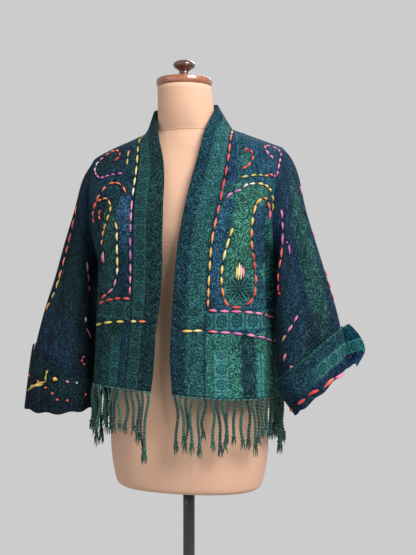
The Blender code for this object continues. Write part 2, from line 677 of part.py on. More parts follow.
def cap_and_knob():
    """The turned cap on the form's neck and the knob on the cap, each clear of what it stands on."""
    foot = NECK_TOP + SEAM_GAP
    turned("neck_cap", CAP_PROFILE, (0.0, NECK_TOP_Y, foot), "mahogany")
    turned("cap_knob", KNOB_PROFILE, (0.0, NECK_TOP_Y, foot + CAP_HEIGHT + SEAM_GAP), "mahogany")


def stand():
    """A plain turned foot with a pole up to the form's underside."""
    turned("stand_base", BASE_PROFILE, (0.0, 0.0, 0.0), "mahogany")
    low = BASE_HEIGHT + SEAM_GAP
    high = FORM[0][0] - SEAM_GAP
    bpy.ops.mesh.primitive_cylinder_add(vertices=ROUND_STEPS, radius=POLE_RADIUS, depth=high - low,
                                        location=(0.0, 0.0, (high + low) / 2))
    pole = bpy.context.object
    pole.name = "stand_pole"
    pole.data.materials.append(material("iron"))
    for collection in list(pole.users_collection):
        collection.objects.unlink(pole)
    COLLECTION.objects.link(pole)


def jacket():
    """All the cloth pieces, sharing their seams, and the fringe along the hem."""
    fronts = {side: front_panel(side) for side in (1, -1)}
    bands = {side: band(side, fronts[side]) for side in (1, -1)}
    back = back_panel(fronts, bands)
    sleeves = {side: sleeve(side, armhole(fronts[side], back, side)) for side in (1, -1)}
    cuffs = {side: cuff(side, sleeves[side]) for side in (1, -1)}
    share_normals([*fronts.values(), *bands.values(), back, *sleeves.values()])
    wall(back, ("top", "first", "last"), "shawl")
    for side in (1, -1):
        wall(fronts[side], ("top", "first", "last"), "shawl")
        wall(bands[side], ("bottom", "first"), "shawl_edge")
        wall(sleeves[side], ("top",), "shawl")
        wall(cuffs[side], (), "shawl_edge")
        hem = np.vstack([fronts[side].points[-1, ::-1], bands[side].points[0, 1:]])
        hem_normals = np.vstack([fronts[side].normals[-1, ::-1], bands[side].normals[0, 1:]])
        name = "fringe_front_" + ("left" if side > 0 else "right")
        fringe(name, hem, hem_normals, side > 0, ("first",), LEFT_STRANDS if side > 0 else RIGHT_STRANDS)
    fringe("fringe_back", back.points[-1], back.normals[-1], False, ("first", "last"), BACK_STRANDS)


jacket()
torso()
cap_and_knob()
stand()
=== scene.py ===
"""Looks of a short open jacket cut from a fringed woven shawl, on its limbless dress form."""

import math

import bpy
import numpy as np
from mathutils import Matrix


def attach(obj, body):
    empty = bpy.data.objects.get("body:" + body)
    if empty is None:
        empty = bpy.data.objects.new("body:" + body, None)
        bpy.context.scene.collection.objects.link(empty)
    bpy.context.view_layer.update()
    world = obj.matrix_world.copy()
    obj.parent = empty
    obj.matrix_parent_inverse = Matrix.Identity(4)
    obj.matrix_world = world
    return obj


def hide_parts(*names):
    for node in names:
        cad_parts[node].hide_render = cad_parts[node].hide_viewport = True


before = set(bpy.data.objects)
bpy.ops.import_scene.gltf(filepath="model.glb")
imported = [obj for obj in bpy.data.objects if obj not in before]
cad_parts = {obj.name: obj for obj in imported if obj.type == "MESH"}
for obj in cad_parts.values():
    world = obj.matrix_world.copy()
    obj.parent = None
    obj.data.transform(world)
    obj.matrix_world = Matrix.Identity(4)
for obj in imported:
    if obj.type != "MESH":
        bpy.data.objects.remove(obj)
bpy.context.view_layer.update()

# The padded form: a firm torso under stretched cream jersey, whole and closed at its flat underside.
# Its sections are rounded ovals, and the cover has a seam round the foot of its neck.
FORM_COLUMNS = ("height", "middle_y", "half_width", "front", "back", "squareness")
FORM = (
    (0.600, 0.000, 0.150, 0.098, 0.092, 2.2),
    (0.612, 0.000, 0.161, 0.106, 0.101, 2.2),
    (0.670, 0.000, 0.172, 0.112, 0.108, 2.2),
    (0.750, 0.000, 0.173, 0.114, 0.110, 2.2),
    (0.830, 0.000, 0.164, 0.111, 0.104, 2.2),
    (0.910, 0.000, 0.146, 0.102, 0.094, 2.2),
    (0.985, 0.000, 0.128, 0.094, 0.088, 2.2),
    (1.060, 0.000, 0.137, 0.106, 0.092, 2.2),
    (1.140, 0.000, 0.154, 0.121, 0.097, 2.2),
    (1.200, 0.000, 0.164, 0.112, 0.100, 2.2),
    (1.250, 0.000, 0.177, 0.097, 0.096, 2.3),
    (1.285, 0.001, 0.184, 0.086, 0.086, 2.2),
    (1.308, 0.002, 0.177, 0.078, 0.076, 2.0),
    (1.326, 0.002, 0.150, 0.074, 0.066, 1.7),
    (1.342, 0.001, 0.119, 0.070, 0.059, 1.6),
    (1.356, -0.003, 0.084, 0.063, 0.056, 1.8),
    (1.372, -0.011, 0.066, 0.060, 0.057, 2.0),
    (1.405, -0.020, 0.0610, 0.0605, 0.0605, 2.0),
    (1.450, -0.031, 0.0575, 0.0575, 0.0575, 2.0),
)
FORM_SIDES = 144
FORM_CUTS = 5
FINE_CUTS = 40
COVER_EASE = 0.0010
MOTTLE_SCALE, KNIT_SCALE = 9.0, 900.0
NECK_SEAM_HEIGHT = 1.357
NECK_SEAM_RADIUS = 0.0007
NECK_SEAM_SIDES = 6
COVER_CREAM = (0.605, 0.362, 0.245)
COVER_SHADE = (0.495, 0.274, 0.175)
SEAM_SHADE = (0.22, 0.11, 0.08)


def smooth(rows, cuts):
    """The Catmull-Rom curve through the rows, with the same number of cuts between each two of them."""
    rows = np.asarray(rows, float)
    ends = np.vstack([2 * rows[0] - rows[1], rows, 2 * rows[-1] - rows[-2]])
    t = (np.arange(cuts) / cuts)[:, None]
    pieces = []
    for before, start, stop, after in zip(ends, ends[1:], ends[2:], ends[3:]):
        pieces.append(start + 0.5 * t * (stop - before)
                      + t ** 2 * (before - 2.5 * start + 2 * stop - 0.5 * after)
                      + t ** 3 * (-0.5 * before + 1.5 * start - 1.5 * stop + 0.5 * after))
    return np.vstack(pieces + [rows[-1:]])


def stack(x, y, z):
    """One array of points from three arrays of coordinates."""
    return np.stack(np.broadcast_arrays(x, y, z), axis=-1)


def placed(name, data):
    """A new object of this name and data, linked into the scene."""
    made = bpy.data.objects.new(name, data)
    bpy.context.scene.collection.objects.link(made)
    return made


def add_piece(name, points, faces, finish, uv=None, values=None):
    """A smooth mesh of these points and faces that rides on the stand, with corner uv and point values."""
    mesh = bpy.data.meshes.new(name)
    mesh.from_pydata(points.reshape(-1, 3).tolist(), [], faces)
    mesh.shade_smooth()
    mesh.materials.append(finish)
    if uv is not None:
        mesh.uv_layers.new(name="weave").data.foreach_set("uv", np.asarray(uv, np.float32).ravel())
    for label, numbers in (values or {}).items():
        kind, field = ("FLOAT", "value") if numbers.ndim == 1 else ("FLOAT_COLOR", "color")
        layer = mesh.attributes.new(label, kind, "POINT")
        layer.data.foreach_set(field, np.asarray(numbers, np.float32).ravel())
    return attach(placed(name, mesh), "root")


def cells(rows, columns, closed=False, flip=False):
    """The corners of every cell of a grid, as point numbers; closed joins the last column to the first."""
    i, j = np.meshgrid(np.arange(rows - 1), np.arange(columns if closed else columns - 1), indexing="ij")
    k = (j + 1) % columns
    corners = np.stack([i * columns + j, (i + 1) * columns + j, (i + 1) * columns + k, i * columns + k],
                       axis=-1).reshape(-1, 4)
    return corners[:, ::-1] if flip else corners


def node(tree, kind, inputs, **settings):
    """Adds a shader node, sets its options, and fills or joins its inputs by number or name."""
    made = tree.nodes.new("ShaderNode" + kind)
    for key, value in settings.items():
        setattr(made, key, value)
    for socket, value in inputs.items():
        if isinstance(value, bpy.types.NodeSocket):
            tree.links.new(value, made.inputs[socket])
        else:
            made.inputs[socket].default_value = value
    return made


def maths(tree, operation, *numbers):
    """The result of one maths node on these numbers or sockets."""
    return node(tree, "Math", dict(enumerate(numbers)), operation=operation).outputs[0]


def between(tree, value, low, high):
    """Rises smoothly from 0 to 1 as the value goes from low to high."""
    return node(tree, "MapRange", {"Value": value, "From Min": low, "From Max": high},
                interpolation_type="SMOOTHSTEP").outputs["Result"]


def object_place(tree):
    """Where the shaded point lies, in metres."""
    return node(tree, "TexCoord", {}).outputs["Object"]


def noise(tree, place, scale, detail, **more):
    """Soft noise of this many lumps a metre and this much detail."""
    return node(tree, "TexNoise", {"Vector": place, "Scale": scale, "Detail": detail, **more}).outputs["Fac"]


def mixed(tree, share, first, second):
    """The colour between two colours or sockets, by the share that the second has."""
    first, second = (end if isinstance(end, bpy.types.NodeSocket) else (*end, 1) for end in (first, second))
    return node(tree, "Mix", {0: share, 6: first, 7: second}, data_type="RGBA").outputs[2]


def new_finish(name, roughness, **sockets):
    """A Principled material with these constant settings; returns it, its node tree and its shader."""
    made = bpy.data.materials.new(name)
    made.use_nodes = True
    shader = made.node_tree.nodes["Principled BSDF"]
    shader.inputs["Roughness"].default_value = roughness
    for socket, value in sockets.items():
        shader.inputs[socket.replace("_", " ")].default_value = value
    return made, made.node_tree, shader


def coloured(tree, shader, colour, height, strength, depth):
    """Joins a colour to the shader, and a height as a bump of this strength and depth in metres."""
    tree.links.new(colour, shader.inputs["Base Color"])
    bump = node(tree, "Bump", {"Height": height, "Strength": strength, "Distance": depth})
    tree.links.new(bump.outputs["Normal"], shader.inputs["Normal"])


def form_sections(rows):
    """Points round the form, row by row: an oval whose sine and cosine are taken to a power that rounds or
    squares it, with its own depth in front and behind."""
    form = dict(zip(FORM_COLUMNS, np.asarray(rows, float).T[:, :, None]))
    turn = np.linspace(0, 2 * math.pi, FORM_SIDES, endpoint=False)[None, :]
    c, s = np.cos(turn), np.sin(turn)
    power = 2 / form["squareness"]
    depth = np.where(s > 0, form["back"], form["front"]) - COVER_EASE
    return stack((form["half_width"] - COVER_EASE) * np.sign(c) * np.abs(c) ** power,
                 form["middle_y"] + depth * np.sign(s) * np.abs(s) ** power, form["height"])


def jersey(name, light, dark):
    """Stretched jersey: soft mottling between two shades, and a fine knit."""
    made, tree, shader = new_finish(name, 0.72, Sheen_Weight=0.12, Sheen_Roughness=0.4)
    place = object_place(tree)
    mottled = mixed(tree, between(tree, noise(tree, place, MOTTLE_SCALE, 3.0), 0.35, 0.75), light, dark)
    knit = noise(tree, place, KNIT_SCALE, 1.0)
    coloured(tree, shader, mixed(tree, 0.7, mottled, light), knit, 0.25, 0.0004)
    return made


sections = form_sections(smooth(FORM, FORM_CUTS))
count = len(sections)
form_faces = cells(count, FORM_SIDES, closed=True, flip=True).tolist()
form_faces += [list(range(FORM_SIDES))[::-1], list(range((count - 1) * FORM_SIDES, count * FORM_SIDES))]
cream_jersey = jersey("cream_jersey", COVER_CREAM, COVER_SHADE)
form = add_piece("form_cover", sections, form_faces, cream_jersey)
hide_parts("form_torso")


def tube(path, radius, sides, closed=False):
    """Points and faces of a tube: circles of the given radius, square to the path, along its points."""
    path = np.asarray(path, float)
    if closed:
        ahead = np.roll(path, -1, axis=0) - np.roll(path, 1, axis=0)
    else:
        ahead = np.gradient(path, axis=0)
    ahead = ahead / np.linalg.norm(ahead, axis=1, keepdims=True)
    level = np.where(np.abs(ahead[:, 2:]) > 0.9, [1.0, 0.0, 0.0], [0.0, 0.0, 1.0])
    side = np.cross(level, ahead)
    side = side / np.linalg.norm(side, axis=1, keepdims=True)
    up = np.cross(ahead, side)
    turn = np.linspace(0, 2 * math.pi, sides, endpoint=False)
    ring = side[:, None] * np.cos(turn)[None, :, None] + up[:, None] * np.sin(turn)[None, :, None]
    points = path[:, None] + ring * np.broadcast_to(radius, (len(path),))[:, None, None]
    faces = cells(len(path), sides, closed=True, flip=True).tolist()
    if closed:
        last = (len(path) - 1) * sides
        faces += [[last + k, k, (k + 1) % sides, last + (k + 1) % sides][::-1] for k in range(sides)]
    else:
        faces += [list(range(sides)), list(range((len(path) - 1) * sides, len(path) * sides))[::-1]]
    return points, faces


fine_rows = smooth(FORM, FINE_CUTS)
neck_row = fine_rows[np.argmin(np.abs(fine_rows[:, 0] - NECK_SEAM_HEIGHT))]
neck_line = form_sections(neck_row[None])[0]
seam_points, seam_faces = tube(neck_line, NECK_SEAM_RADIUS, NECK_SEAM_SIDES, closed=True)
add_piece("form_neck_seam", seam_points, seam_faces, jersey("seam_jersey", COVER_SHADE, SEAM_SHADE))

# The cap on the form's neck and its knob: mahogany, turned on a lathe, stained red-brown and varnished.
# The cap covers the raw end of the neck, and the knob is for lifting the form. A profile lists the radius
# and the height of its spots from the top down.
CAP_PROFILE = ((0.0125, 0.0260), (0.0150, 0.0240), (0.0300, 0.0215), (0.0460, 0.0185), (0.0570, 0.0159),
               (0.0588, 0.0128), (0.0595, 0.0085), (0.0588, 0.0043), (0.0570, 0.0011), (0.0535, 0.0000))
KNOB_PROFILE = ((0.0080, 0.0303), (0.0151, 0.0283), (0.0204, 0.0253), (0.0231, 0.0215), (0.0231, 0.0175),
                (0.0204, 0.0138), (0.0151, 0.0107), (0.0105, 0.0065), (0.0105, 0.0030), (0.0120, 0.0000))
TURNED_SIDES = 96
NECK_TOP = FORM[-1][0]
NECK_TOP_Y = FORM[-1][1]
STANDING_GAP = 0.0003
CAP_HEIGHT = 0.026
MAHOGANY_LIGHT = (0.40, 0.140, 0.060)
MAHOGANY_DARK = (0.18, 0.050, 0.024)
KNOB_LIGHT = (0.12, 0.036, 0.024)
KNOB_DARK = (0.026, 0.010, 0.010)
GRAIN_SCALE = (30.0, 260.0, 260.0)


def turned(name, profile, foot, finish, cuts=6):
    """A lathe-turned piece: its smoothed profile, top to bottom, carried round the upright axis."""
    profile = smooth(profile, cuts)
    turn = np.linspace(0, 2 * math.pi, TURNED_SIDES, endpoint=False)[None, :]
    radius, height = profile[:, :1], np.maximum(profile[:, 1:], 0.0)
    points = stack(radius * np.cos(turn), radius * np.sin(turn), height) + np.array(foot)
    faces = cells(len(profile), TURNED_SIDES, closed=True).tolist()
    last = (len(profile) - 1) * TURNED_SIDES
    faces += [list(range(TURNED_SIDES)), list(range(last, last + TURNED_SIDES))[::-1]]
    return add_piece(name, points, faces, finish)


def mahogany(name, light, dark):
    """Varnished mahogany: long wavy grain across the piece, under a clear glossy coat."""
    made, tree, shader = new_finish(name, 0.34, Coat_Weight=1.0, Coat_Roughness=0.08)
    long = node(tree, "Mapping", {"Vector": object_place(tree), "Scale": GRAIN_SCALE}).outputs["Vector"]
    grain = noise(tree, long, 1.0, 4.0, Roughness=0.65)
    coloured(tree, shader, mixed(tree, between(tree, grain, 0.3, 0.7), dark, light), grain, 0.08, 0.0004)
    return made


cap_wood = mahogany("cap_mahogany", MAHOGANY_LIGHT, MAHOGANY_DARK)
cap_foot = (0.0, NECK_TOP_Y, NECK_TOP + STANDING_GAP)
cap = turned("turned_cap", CAP_PROFILE, cap_foot, cap_wood)
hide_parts("neck_cap")
knob_foot = (0.0, NECK_TOP_Y, NECK_TOP + CAP_HEIGHT + 2 * STANDING_GAP)
knob = turned("turned_knob", KNOB_PROFILE, knob_foot, mahogany("knob_mahogany", KNOB_LIGHT, KNOB_DARK))
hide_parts("cap_knob")

# The stand: a turned mahogany foot, and a black enamelled steel tube that stands on it and carries the form.
# The photo ends just below the form, so both are plain.
BASE_PROFILE = ((0.0130, 0.0240), (0.0450, 0.0240), (0.0600, 0.0180), (0.1200, 0.0152), (0.1680, 0.0130),
                (0.1770, 0.0100), (0.1800, 0.0060), (0.1800, 0.0002), (0.1795, 0.0000))
POLE_RADIUS = 0.0125
POLE_TOP = FORM[0][0] - STANDING_GAP
POLE_FOOT = BASE_PROFILE[0][1] + STANDING_GAP
ENAMEL_DARK = (0.014, 0.014, 0.015)
ENAMEL_LIGHT = (0.022, 0.022, 0.023)
PEEL_SCALE = 260.0


def enamel():
    """Black enamel with a faint orange-peel surface."""
    made, tree, shader = new_finish("black_enamel", 0.35, Coat_Weight=0.4, Coat_Roughness=0.2)
    peel = noise(tree, object_place(tree), PEEL_SCALE, 1.0)
    coloured(tree, shader, mixed(tree, peel, ENAMEL_DARK, ENAMEL_LIGHT), peel, 0.1, 0.0003)
    return made


foot = turned("turned_foot", BASE_PROFILE, (0.0, 0.0, 0.0), cap_wood)
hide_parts("stand_base")
pole_heights = (POLE_TOP, (POLE_TOP + POLE_FOOT) / 2, POLE_FOOT)
pole_profile = [(POLE_RADIUS, height) for height in pole_heights]
pole = turned("steel_pole", pole_profile, (0.0, 0.0, 0.0), enamel())
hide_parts("stand_pole")

# The two fronts: cut from a woven wool and silk shawl of teal, green and navy with a jacquard figure, its
# border at the hem. Each hangs from the shoulder seam beside the band, and is sewn to the back and sleeve.
# Running stitches of thick variegated floss follow the woven paisleys and the borders.
LEVEL_COLUMNS = ("seam_y", "seam_z", "edge_y", "edge_z", "corner_x", "corner_y",
                 "side_x", "side_y", "side_z", "back_y", "back_side_y")
LEVELS = (
    (0.000, 1.360, -0.026, 1.403, 0.152, 0.002, 0.205, 0.004, 1.318, 0.063, 0.004),
    (-0.052, 1.335, -0.071, 1.352, 0.174, -0.060, 0.211, -0.032, 1.298, 0.086, 0.040),
    (-0.092, 1.275, -0.099, 1.278, 0.190, -0.098, 0.208, -0.056, 1.250, 0.104, 0.064),
    (-0.122, 1.200, -0.130, 1.201, 0.199, -0.125, 0.203, -0.064, 1.185, 0.113, 0.072),
    (-0.135, 1.125, -0.143, 1.125, 0.200, -0.136, 0.199, -0.048, 1.120, 0.116, 0.056),
    (-0.139, 1.055, -0.147, 1.055, 0.200, -0.140, 0.196, 0.000, 1.075, 0.116, 0.000),
    (-0.141, 0.975, -0.149, 0.975, 0.201, -0.142, 0.197, 0.000, 0.985, 0.117, 0.000),
    (-0.142, 0.890, -0.151, 0.890, 0.204, -0.143, 0.198, 0.000, 0.893, 0.120, 0.000),
    (-0.142, 0.803, -0.152, 0.803, 0.208, -0.143, 0.201, 0.000, 0.803, 0.124, 0.000),
)
OPENING_COLUMNS = ("left_seam", "left_edge", "right_seam", "right_edge")
OPENING = (
    (0.097, 0.070, 0.097, 0.070),
    (0.107, 0.060, 0.092, 0.044),
    (0.111, 0.049, 0.081, 0.021),
    (0.105, 0.038, 0.079, 0.011),
    (0.093, 0.027, 0.077, 0.007),
    (0.088, 0.021, 0.075, 0.007),
    (0.085, 0.016, 0.077, 0.013),
    (0.083, 0.012, 0.083, 0.021),
    (0.084, 0.016, 0.091, 0.029),
)
LEVEL_CUTS = 22
FRONT_SPANS = 80
ARMHOLE_LEVELS = 5
ROUND_ROW = 0.72
HEM_RISE, RISE_WIDTH, RISE_TOP, RISE_LENGTH = 0.020, 0.360, 1.200, 0.400
CLOTH = 0.0018
FOLD_COLUMNS = ("across", "width", "top_z", "low_z", "depth", "slant")
LEFT_FOLDS = (
    (0.80, 0.070, 1.235, 0.960, -0.016, 0.02),
    (0.62, 0.060, 1.215, 0.800, 0.004, 0.03),
    (0.34, 0.110, 1.120, 0.780, -0.006, -0.03),
)
RIGHT_FOLDS = (
    (0.78, 0.080, 1.225, 0.900, -0.014, 0.02),
    (0.48, 0.100, 1.130, 0.780, 0.005, 0.02),
    (0.24, 0.090, 1.080, 0.780, -0.004, 0.00),
)
# Creases: where each starts and ends across and down the piece (0 to 1), its width and its depth.
CREASE_COLUMNS = ("from_across", "from_down", "to_across", "to_down", "width", "depth")
LEFT_CREASES = (
    (0.26, 0.00, 0.22, 0.34, 0.0035, 0.0020),
    (0.50, 0.10, 0.44, 0.46, 0.0060, -0.0018),
    (0.93, 0.30, 0.70, 0.40, 0.0070, -0.0030),
    (0.95, 0.40, 0.74, 0.52, 0.0080, 0.0026),
    (0.12, 0.62, 0.10, 1.05, 0.0100, 0.0022),
    (0.30, 0.70, 0.33, 1.05, 0.0090, -0.0022),
    (0.52, 0.66, 0.55, 1.05, 0.0110, 0.0024),
    (0.74, 0.60, 0.78, 1.05, 0.0100, -0.0026),
)
RIGHT_CREASES = (
    (0.30, 0.02, 0.34, 0.30, 0.0060, -0.0016),
    (0.92, 0.28, 0.66, 0.42, 0.0080, -0.0030),
    (0.90, 0.42, 0.60, 0.50, 0.0070, 0.0022),
    (0.15, 0.55, 0.12, 1.05, 0.0090, -0.0020),
    (0.38, 0.62, 0.36, 1.05, 0.0110, 0.0022),
    (0.60, 0.70, 0.64, 1.05, 0.0090, -0.0022),
)


def painted(red, green, blue):
    """A colour from a paint chart, 0 to 255, as the linear values that a shader takes: a 2.4 power."""
    share = np.array([red, green, blue]) / 255
    return ((share + 0.055) / 1.055) ** 2.4


NAVY = painted(20, 46, 70)
TEAL = painted(19, 58, 70)
GREEN = painted(42, 90, 74)
DEEP = painted(14, 44, 46)
PALE = painted(38, 89, 88)
SQUARES = painted(27, 69, 70)
INK = painted(12, 25, 38)
BORDER = painted(40, 90, 80)
DUSK = painted(24, 62, 62)
BLUE = painted(46, 82, 112)
DARK_YARN, LIGHT_YARN = (0.0004, 0.0020, 0.0040), (0.014, 0.022, 0.026)
FLOSS = {
    "cream": painted(244, 224, 196), "white": painted(236, 222, 226), "pale": painted(240, 224, 160),
    "yellow": painted(232, 198, 98), "gold": painted(236, 170, 74), "orange": painted(238, 132, 74),
    "coral": painted(230, 96, 78), "red": painted(216, 58, 52), "pink": painted(230, 136, 172),
    "hot": painted(222, 98, 150), "mauve": painted(182, 94, 172), "olive": painted(170, 160, 66),
}
# Embroidery: the pitch of its stitches (0 for one single stitch) and the floss's width, its colours in turn,
# and the spots that its curve goes through. All are in mm, across and down the piece from its corner.
LEFT_STITCHES = (
    (26, 5.0, "cream coral coral red red coral orange gold yellow gold coral",
     ((3, 12), (4, 90), (4, 180), (3, 290), (3, 408))),
    (23, 6.0, "coral pink hot pink pink hot coral", ((1, 407), (27, 410), (69, 414), (111, 423), (150, 433))),
    (23, 6.0, "coral pink mauve pink mauve pink orange",
     ((1, 452), (31, 454), (77, 461), (129, 475), (158, 479))),
    (16, 5.0, "red red coral red", ((45, 84), (52, 75), (68, 81), (68, 97), (56, 115), (42, 124))),
    (18, 5.0, "pink hot pink mauve pink hot coral",
     ((136, 76), (116, 70), (104, 56), (108, 40), (128, 34), (150, 40), (166, 60), (170, 88), (166, 108),
      (154, 119), (124, 120))),
    (22, 5.0, "coral olive olive yellow olive", ((126, 122), (108, 127), (80, 130), (44, 142))),
    (20, 5.0, "pink mauve white yellow yellow olive olive",
     ((16, 189), (26, 177), (45, 168), (62, 154), (89, 148), (114, 148), (138, 156), (154, 172), (158, 200))),
    (24, 5.5, "hot coral coral gold gold yellow orange orange red red coral red red red coral orange yellow "
              "yellow pale yellow yellow",
     ((146, 222), (147, 203), (138, 184), (118, 176), (103, 179), (88, 193), (82, 220), (81, 252), (84, 294),
      (88, 330), (89, 361), (84, 386), (71, 400), (54, 404), (38, 398), (29, 374), (25, 340), (27, 308),
      (32, 280), (42, 238))),
    (0, 5.0, "yellow", ((53, 344), (54, 320))),
    (0, 5.0, "pale", ((57, 347), (58, 313))),
    (0, 5.0, "pale pink", ((62, 347), (61, 317))),
    (0, 5.0, "pink", ((66, 344), (65, 323))),
)
RIGHT_STITCHES = (
    (24, 4.5, "coral olive olive yellow yellow pale cream pink pink mauve mauve mauve pink pink coral",
     ((3, 14), (3, 86), (3, 180), (3, 289), (3, 376))),
    (20, 6.0, "coral red red red red", ((0, 381), (20, 382), (42, 386), (64, 393), (82, 402))),
    (28, 6.0, "yellow yellow olive", ((11, 431), (38, 434), (66, 440), (94, 448))),
    (17, 4.5, "red red orange coral pink white pink pink mauve mauve hot",
     ((65, 91), (52, 80), (58, 65), (84, 57), (113, 69), (131, 82), (126, 101), (100, 122), (80, 124),
      (58, 123), (33, 126))),
    (16, 5.0, "coral olive olive", ((25, 70), (28, 87), (26, 108))),
    (20, 4.5, "orange coral orange orange coral coral",
     ((18, 170), (30, 153), (46, 145), (65, 144), (82, 158), (98, 176), (108, 196))),
    (18, 4.5, "red red red orange orange yellow gold orange orange olive",
     ((102, 227), (109, 212), (107, 196), (94, 180), (78, 176), (61, 178), (50, 198), (57, 220), (68, 245),
      (76, 276))),
    (14, 4.5, "red coral", ((78, 197), (84, 208), (78, 221))),
    (22, 5.0, "olive yellow pale pale yellow cream pink pink coral red",
     ((39, 224), (33, 240), (32, 262), (32, 300), (33, 330), (42, 360), (60, 378), (76, 392))),
    (0, 4.5, "pink", ((70, 312), (71, 286))),
    (0, 4.5, "coral pale", ((75, 313), (74, 289))),
)
# Patches of other dyes: middle across and down, half sizes, lean, dye, and how fully it covers the ground.
PATCH_COLUMNS = ("across", "down", "half_across", "half_down", "lean", "dye", "cover")
LEFT_PATCHES = (
    (14, 90, 14, 104, 0.10, NAVY, 0.9),
    (30, 92, 1.6, 80, 0.165, PALE, 0.8),
    (110, 80, 52, 60, 0.0, NAVY, 0.6),
    (52, 98, 12, 22, 0.0, GREEN, 0.6),
    (78, 172, 56, 22, 0.0, GREEN, 0.8),
    (60, 232, 20, 60, 0.0, GREEN, 0.9),
    (58, 330, 28, 66, 0.0, GREEN, 0.9),
    (59, 366, 24, 28, 0.0, DEEP, 0.8),
    (14, 300, 10, 90, 0.0, BLUE, 0.35),
    (112, 262, 18, 64, 0.0, NAVY, 0.95),
    (120, 338, 18, 22, 0.0, GREEN, 0.8),
    (118, 388, 30, 18, 0.0, TEAL, 0.6),
    (145, 300, 12, 90, 0.0, GREEN, 0.4),
)
RIGHT_PATCHES = (
    (90, 90, 60, 50, 0.0, NAVY, 0.6),
    (84, 90, 28, 20, 0.0, DEEP, 0.7),
    (18, 225, 15, 52, 0.0, BLUE, 0.95),
    (78, 205, 22, 36, 0.0, DEEP, 0.8),
    (54, 270, 18, 80, 0.0, GREEN, 0.6),
    (16, 340, 12, 44, 0.0, NAVY, 0.6),
    (110, 300, 26, 90, 0.0, DEEP, 0.6),
)
# The border below the last row of stitches: upright stripes, from and to across, their dye, how much of
# the woven rosette shows in them, and how far below the row they begin.
STRIPE_COLUMNS = ("start", "stop", "dye", "rosette", "below")
LEFT_STRIPES = (
    (-9, 240, BORDER, 0.0, 0),
    (14, 37, PALE, 0.8, 34),
    (62, 88, DEEP, 0.0, 0),
    (90, 105, PALE, 0.8, 40),
)
RIGHT_STRIPES = (
    (-9, 240, DUSK, 0.0, 0),
    (-9, 18, TEAL, 0.0, 0),
    (18, 44, PALE, 0.8, 28),
)
# How far down the two rows of stitches lie that frame the woven squares.
LEFT_ROWS, RIGHT_ROWS = (412, 452), (386, 430)
# Blooms: the middle of each leafy outline, across and down, and its radius.
LEFT_BLOOMS = ((59, 366, 32), (122, 384, 26), (30, 232, 20), (112, 120, 22), (116, 336, 20))
RIGHT_BLOOMS = ((62, 340, 24), (24, 222, 22), (104, 250, 22))


def step(x):
    """Smooth step from 0 to 1 as x goes from 0 to 1: three times its square less twice its cube."""
    x = np.clip(x, 0.0, 1.0)
    return x * x * (3 - 2 * x)


def bell(x):
    """A bell shape: 1 where x is 0, falling off on both sides as e to the power of less its square."""
    return np.exp(-x ** 2)


def named(columns, table):
    """The rows of a table, each with its values by the names of its columns."""
    return [dict(zip(columns, row)) for row in table]


def unit(vectors):
    """The vectors, each scaled to length 1."""
    return vectors / np.maximum(np.linalg.norm(vectors, axis=-1, keepdims=True), 1e-12)


def outward(points, closed, flip):
    """Outward normals of a grid: the cross product of its two directions."""
    down = np.gradient(points, axis=0)
    if closed:
        along = np.roll(points, -1, axis=1) - np.roll(points, 1, axis=1)
    else:
        along = np.gradient(points, axis=1)
    return unit(np.cross(down, along)) * (-1 if flip else 1)


def pushed(points, distance, closed=False, flip=False):
    """The grid's points, each moved out along its normal by its distance."""
    return points + outward(points, closed, flip) * distance[..., None]


def arc_rows(start, corner, stop, across):
    """Each row as a conic arc from start to stop, pulled towards its corner."""
    s = across[None, :, None]
    first, last, pull = (1 - s) ** 2, s ** 2, 2 * ROUND_ROW * s * (1 - s)
    return ((first * start[:, None] + pull * corner[:, None] + last * stop[:, None])
            / (first + pull + last))


def settle(points):
    """The jacket hangs a little askew: its hem rises towards the wearer's right, by smooth steps."""
    rise = (HEM_RISE * step(0.5 - points[..., 0] / RISE_WIDTH)
            * step((RISE_TOP - points[..., 2]) / RISE_LENGTH))
    return points + rise[..., None] * np.array([0.0, 0.0, 1.0])


def mirrored(points, side):
    """The points as given for the wearer's left, or mirrored for the right."""
    return points * np.array([side, 1.0, 1.0])


# How folds fade in at their top, where they end, how they fade out there, and how they fade at both seams.
FADE_IN, FOLD_END, FADE_OUT = 0.35, 1.12, 0.30
SEAM_FADE, EDGE_FADE = 0.12, 0.10


def fold_depths(points, across, table):
    """Large soft folds down a piece, each a bell-shaped trough or ridge, fading at its ends and the seams."""
    depth = np.zeros(points.shape[:2])
    for fold in named(FOLD_COLUMNS, table):
        down = (fold["top_z"] - points[..., 2]) / (fold["top_z"] - fold["low_z"])
        profile = bell((across[None, :] - fold["across"] - fold["slant"] * down) / fold["width"])
        depth += fold["depth"] * profile * step(down / FADE_IN) * step((FOLD_END - down) / FADE_OUT)
    return depth * (step(across / SEAM_FADE) * step((1 - across) / EDGE_FADE))[None, :]


def crease_depths(shape, width, length, table):
    """Narrow creases: a bell-shaped trough or ridge by the distance to each crease's own straight line,
    shallower towards its two ends."""
    u = np.linspace(0, 1, shape[1])[None, :] * width
    v = np.linspace(0, 1, shape[0])[:, None] * length
    depth = np.zeros(shape)
    for crease in named(CREASE_COLUMNS, table):
        start = np.array([crease["from_across"] * width, crease["from_down"] * length])
        run = np.array([crease["to_across"] * width, crease["to_down"] * length]) - start
        along = np.clip(((u - start[0]) * run[0] + (v - start[1]) * run[1]) / (run @ run), 0, 1)
        away = np.hypot(u - start[0] - along * run[0], v - start[1] - along * run[1])
        fade = np.sqrt(np.sin(math.pi * (0.08 + 0.84 * along)))
        depth += crease["depth"] * fade * bell(away / crease["width"])
    return depth


def body_levels():
    """The body's smoothed levels; below the underarm the side seam keeps to the middle of the side."""
    level = dict(zip(LEVEL_COLUMNS, smooth(LEVELS, LEVEL_CUTS).T))
    for name in ("side_y", "back_side_y"):
        level[name][ARMHOLE_LEVELS * LEVEL_CUTS:] = 0.0
    return level


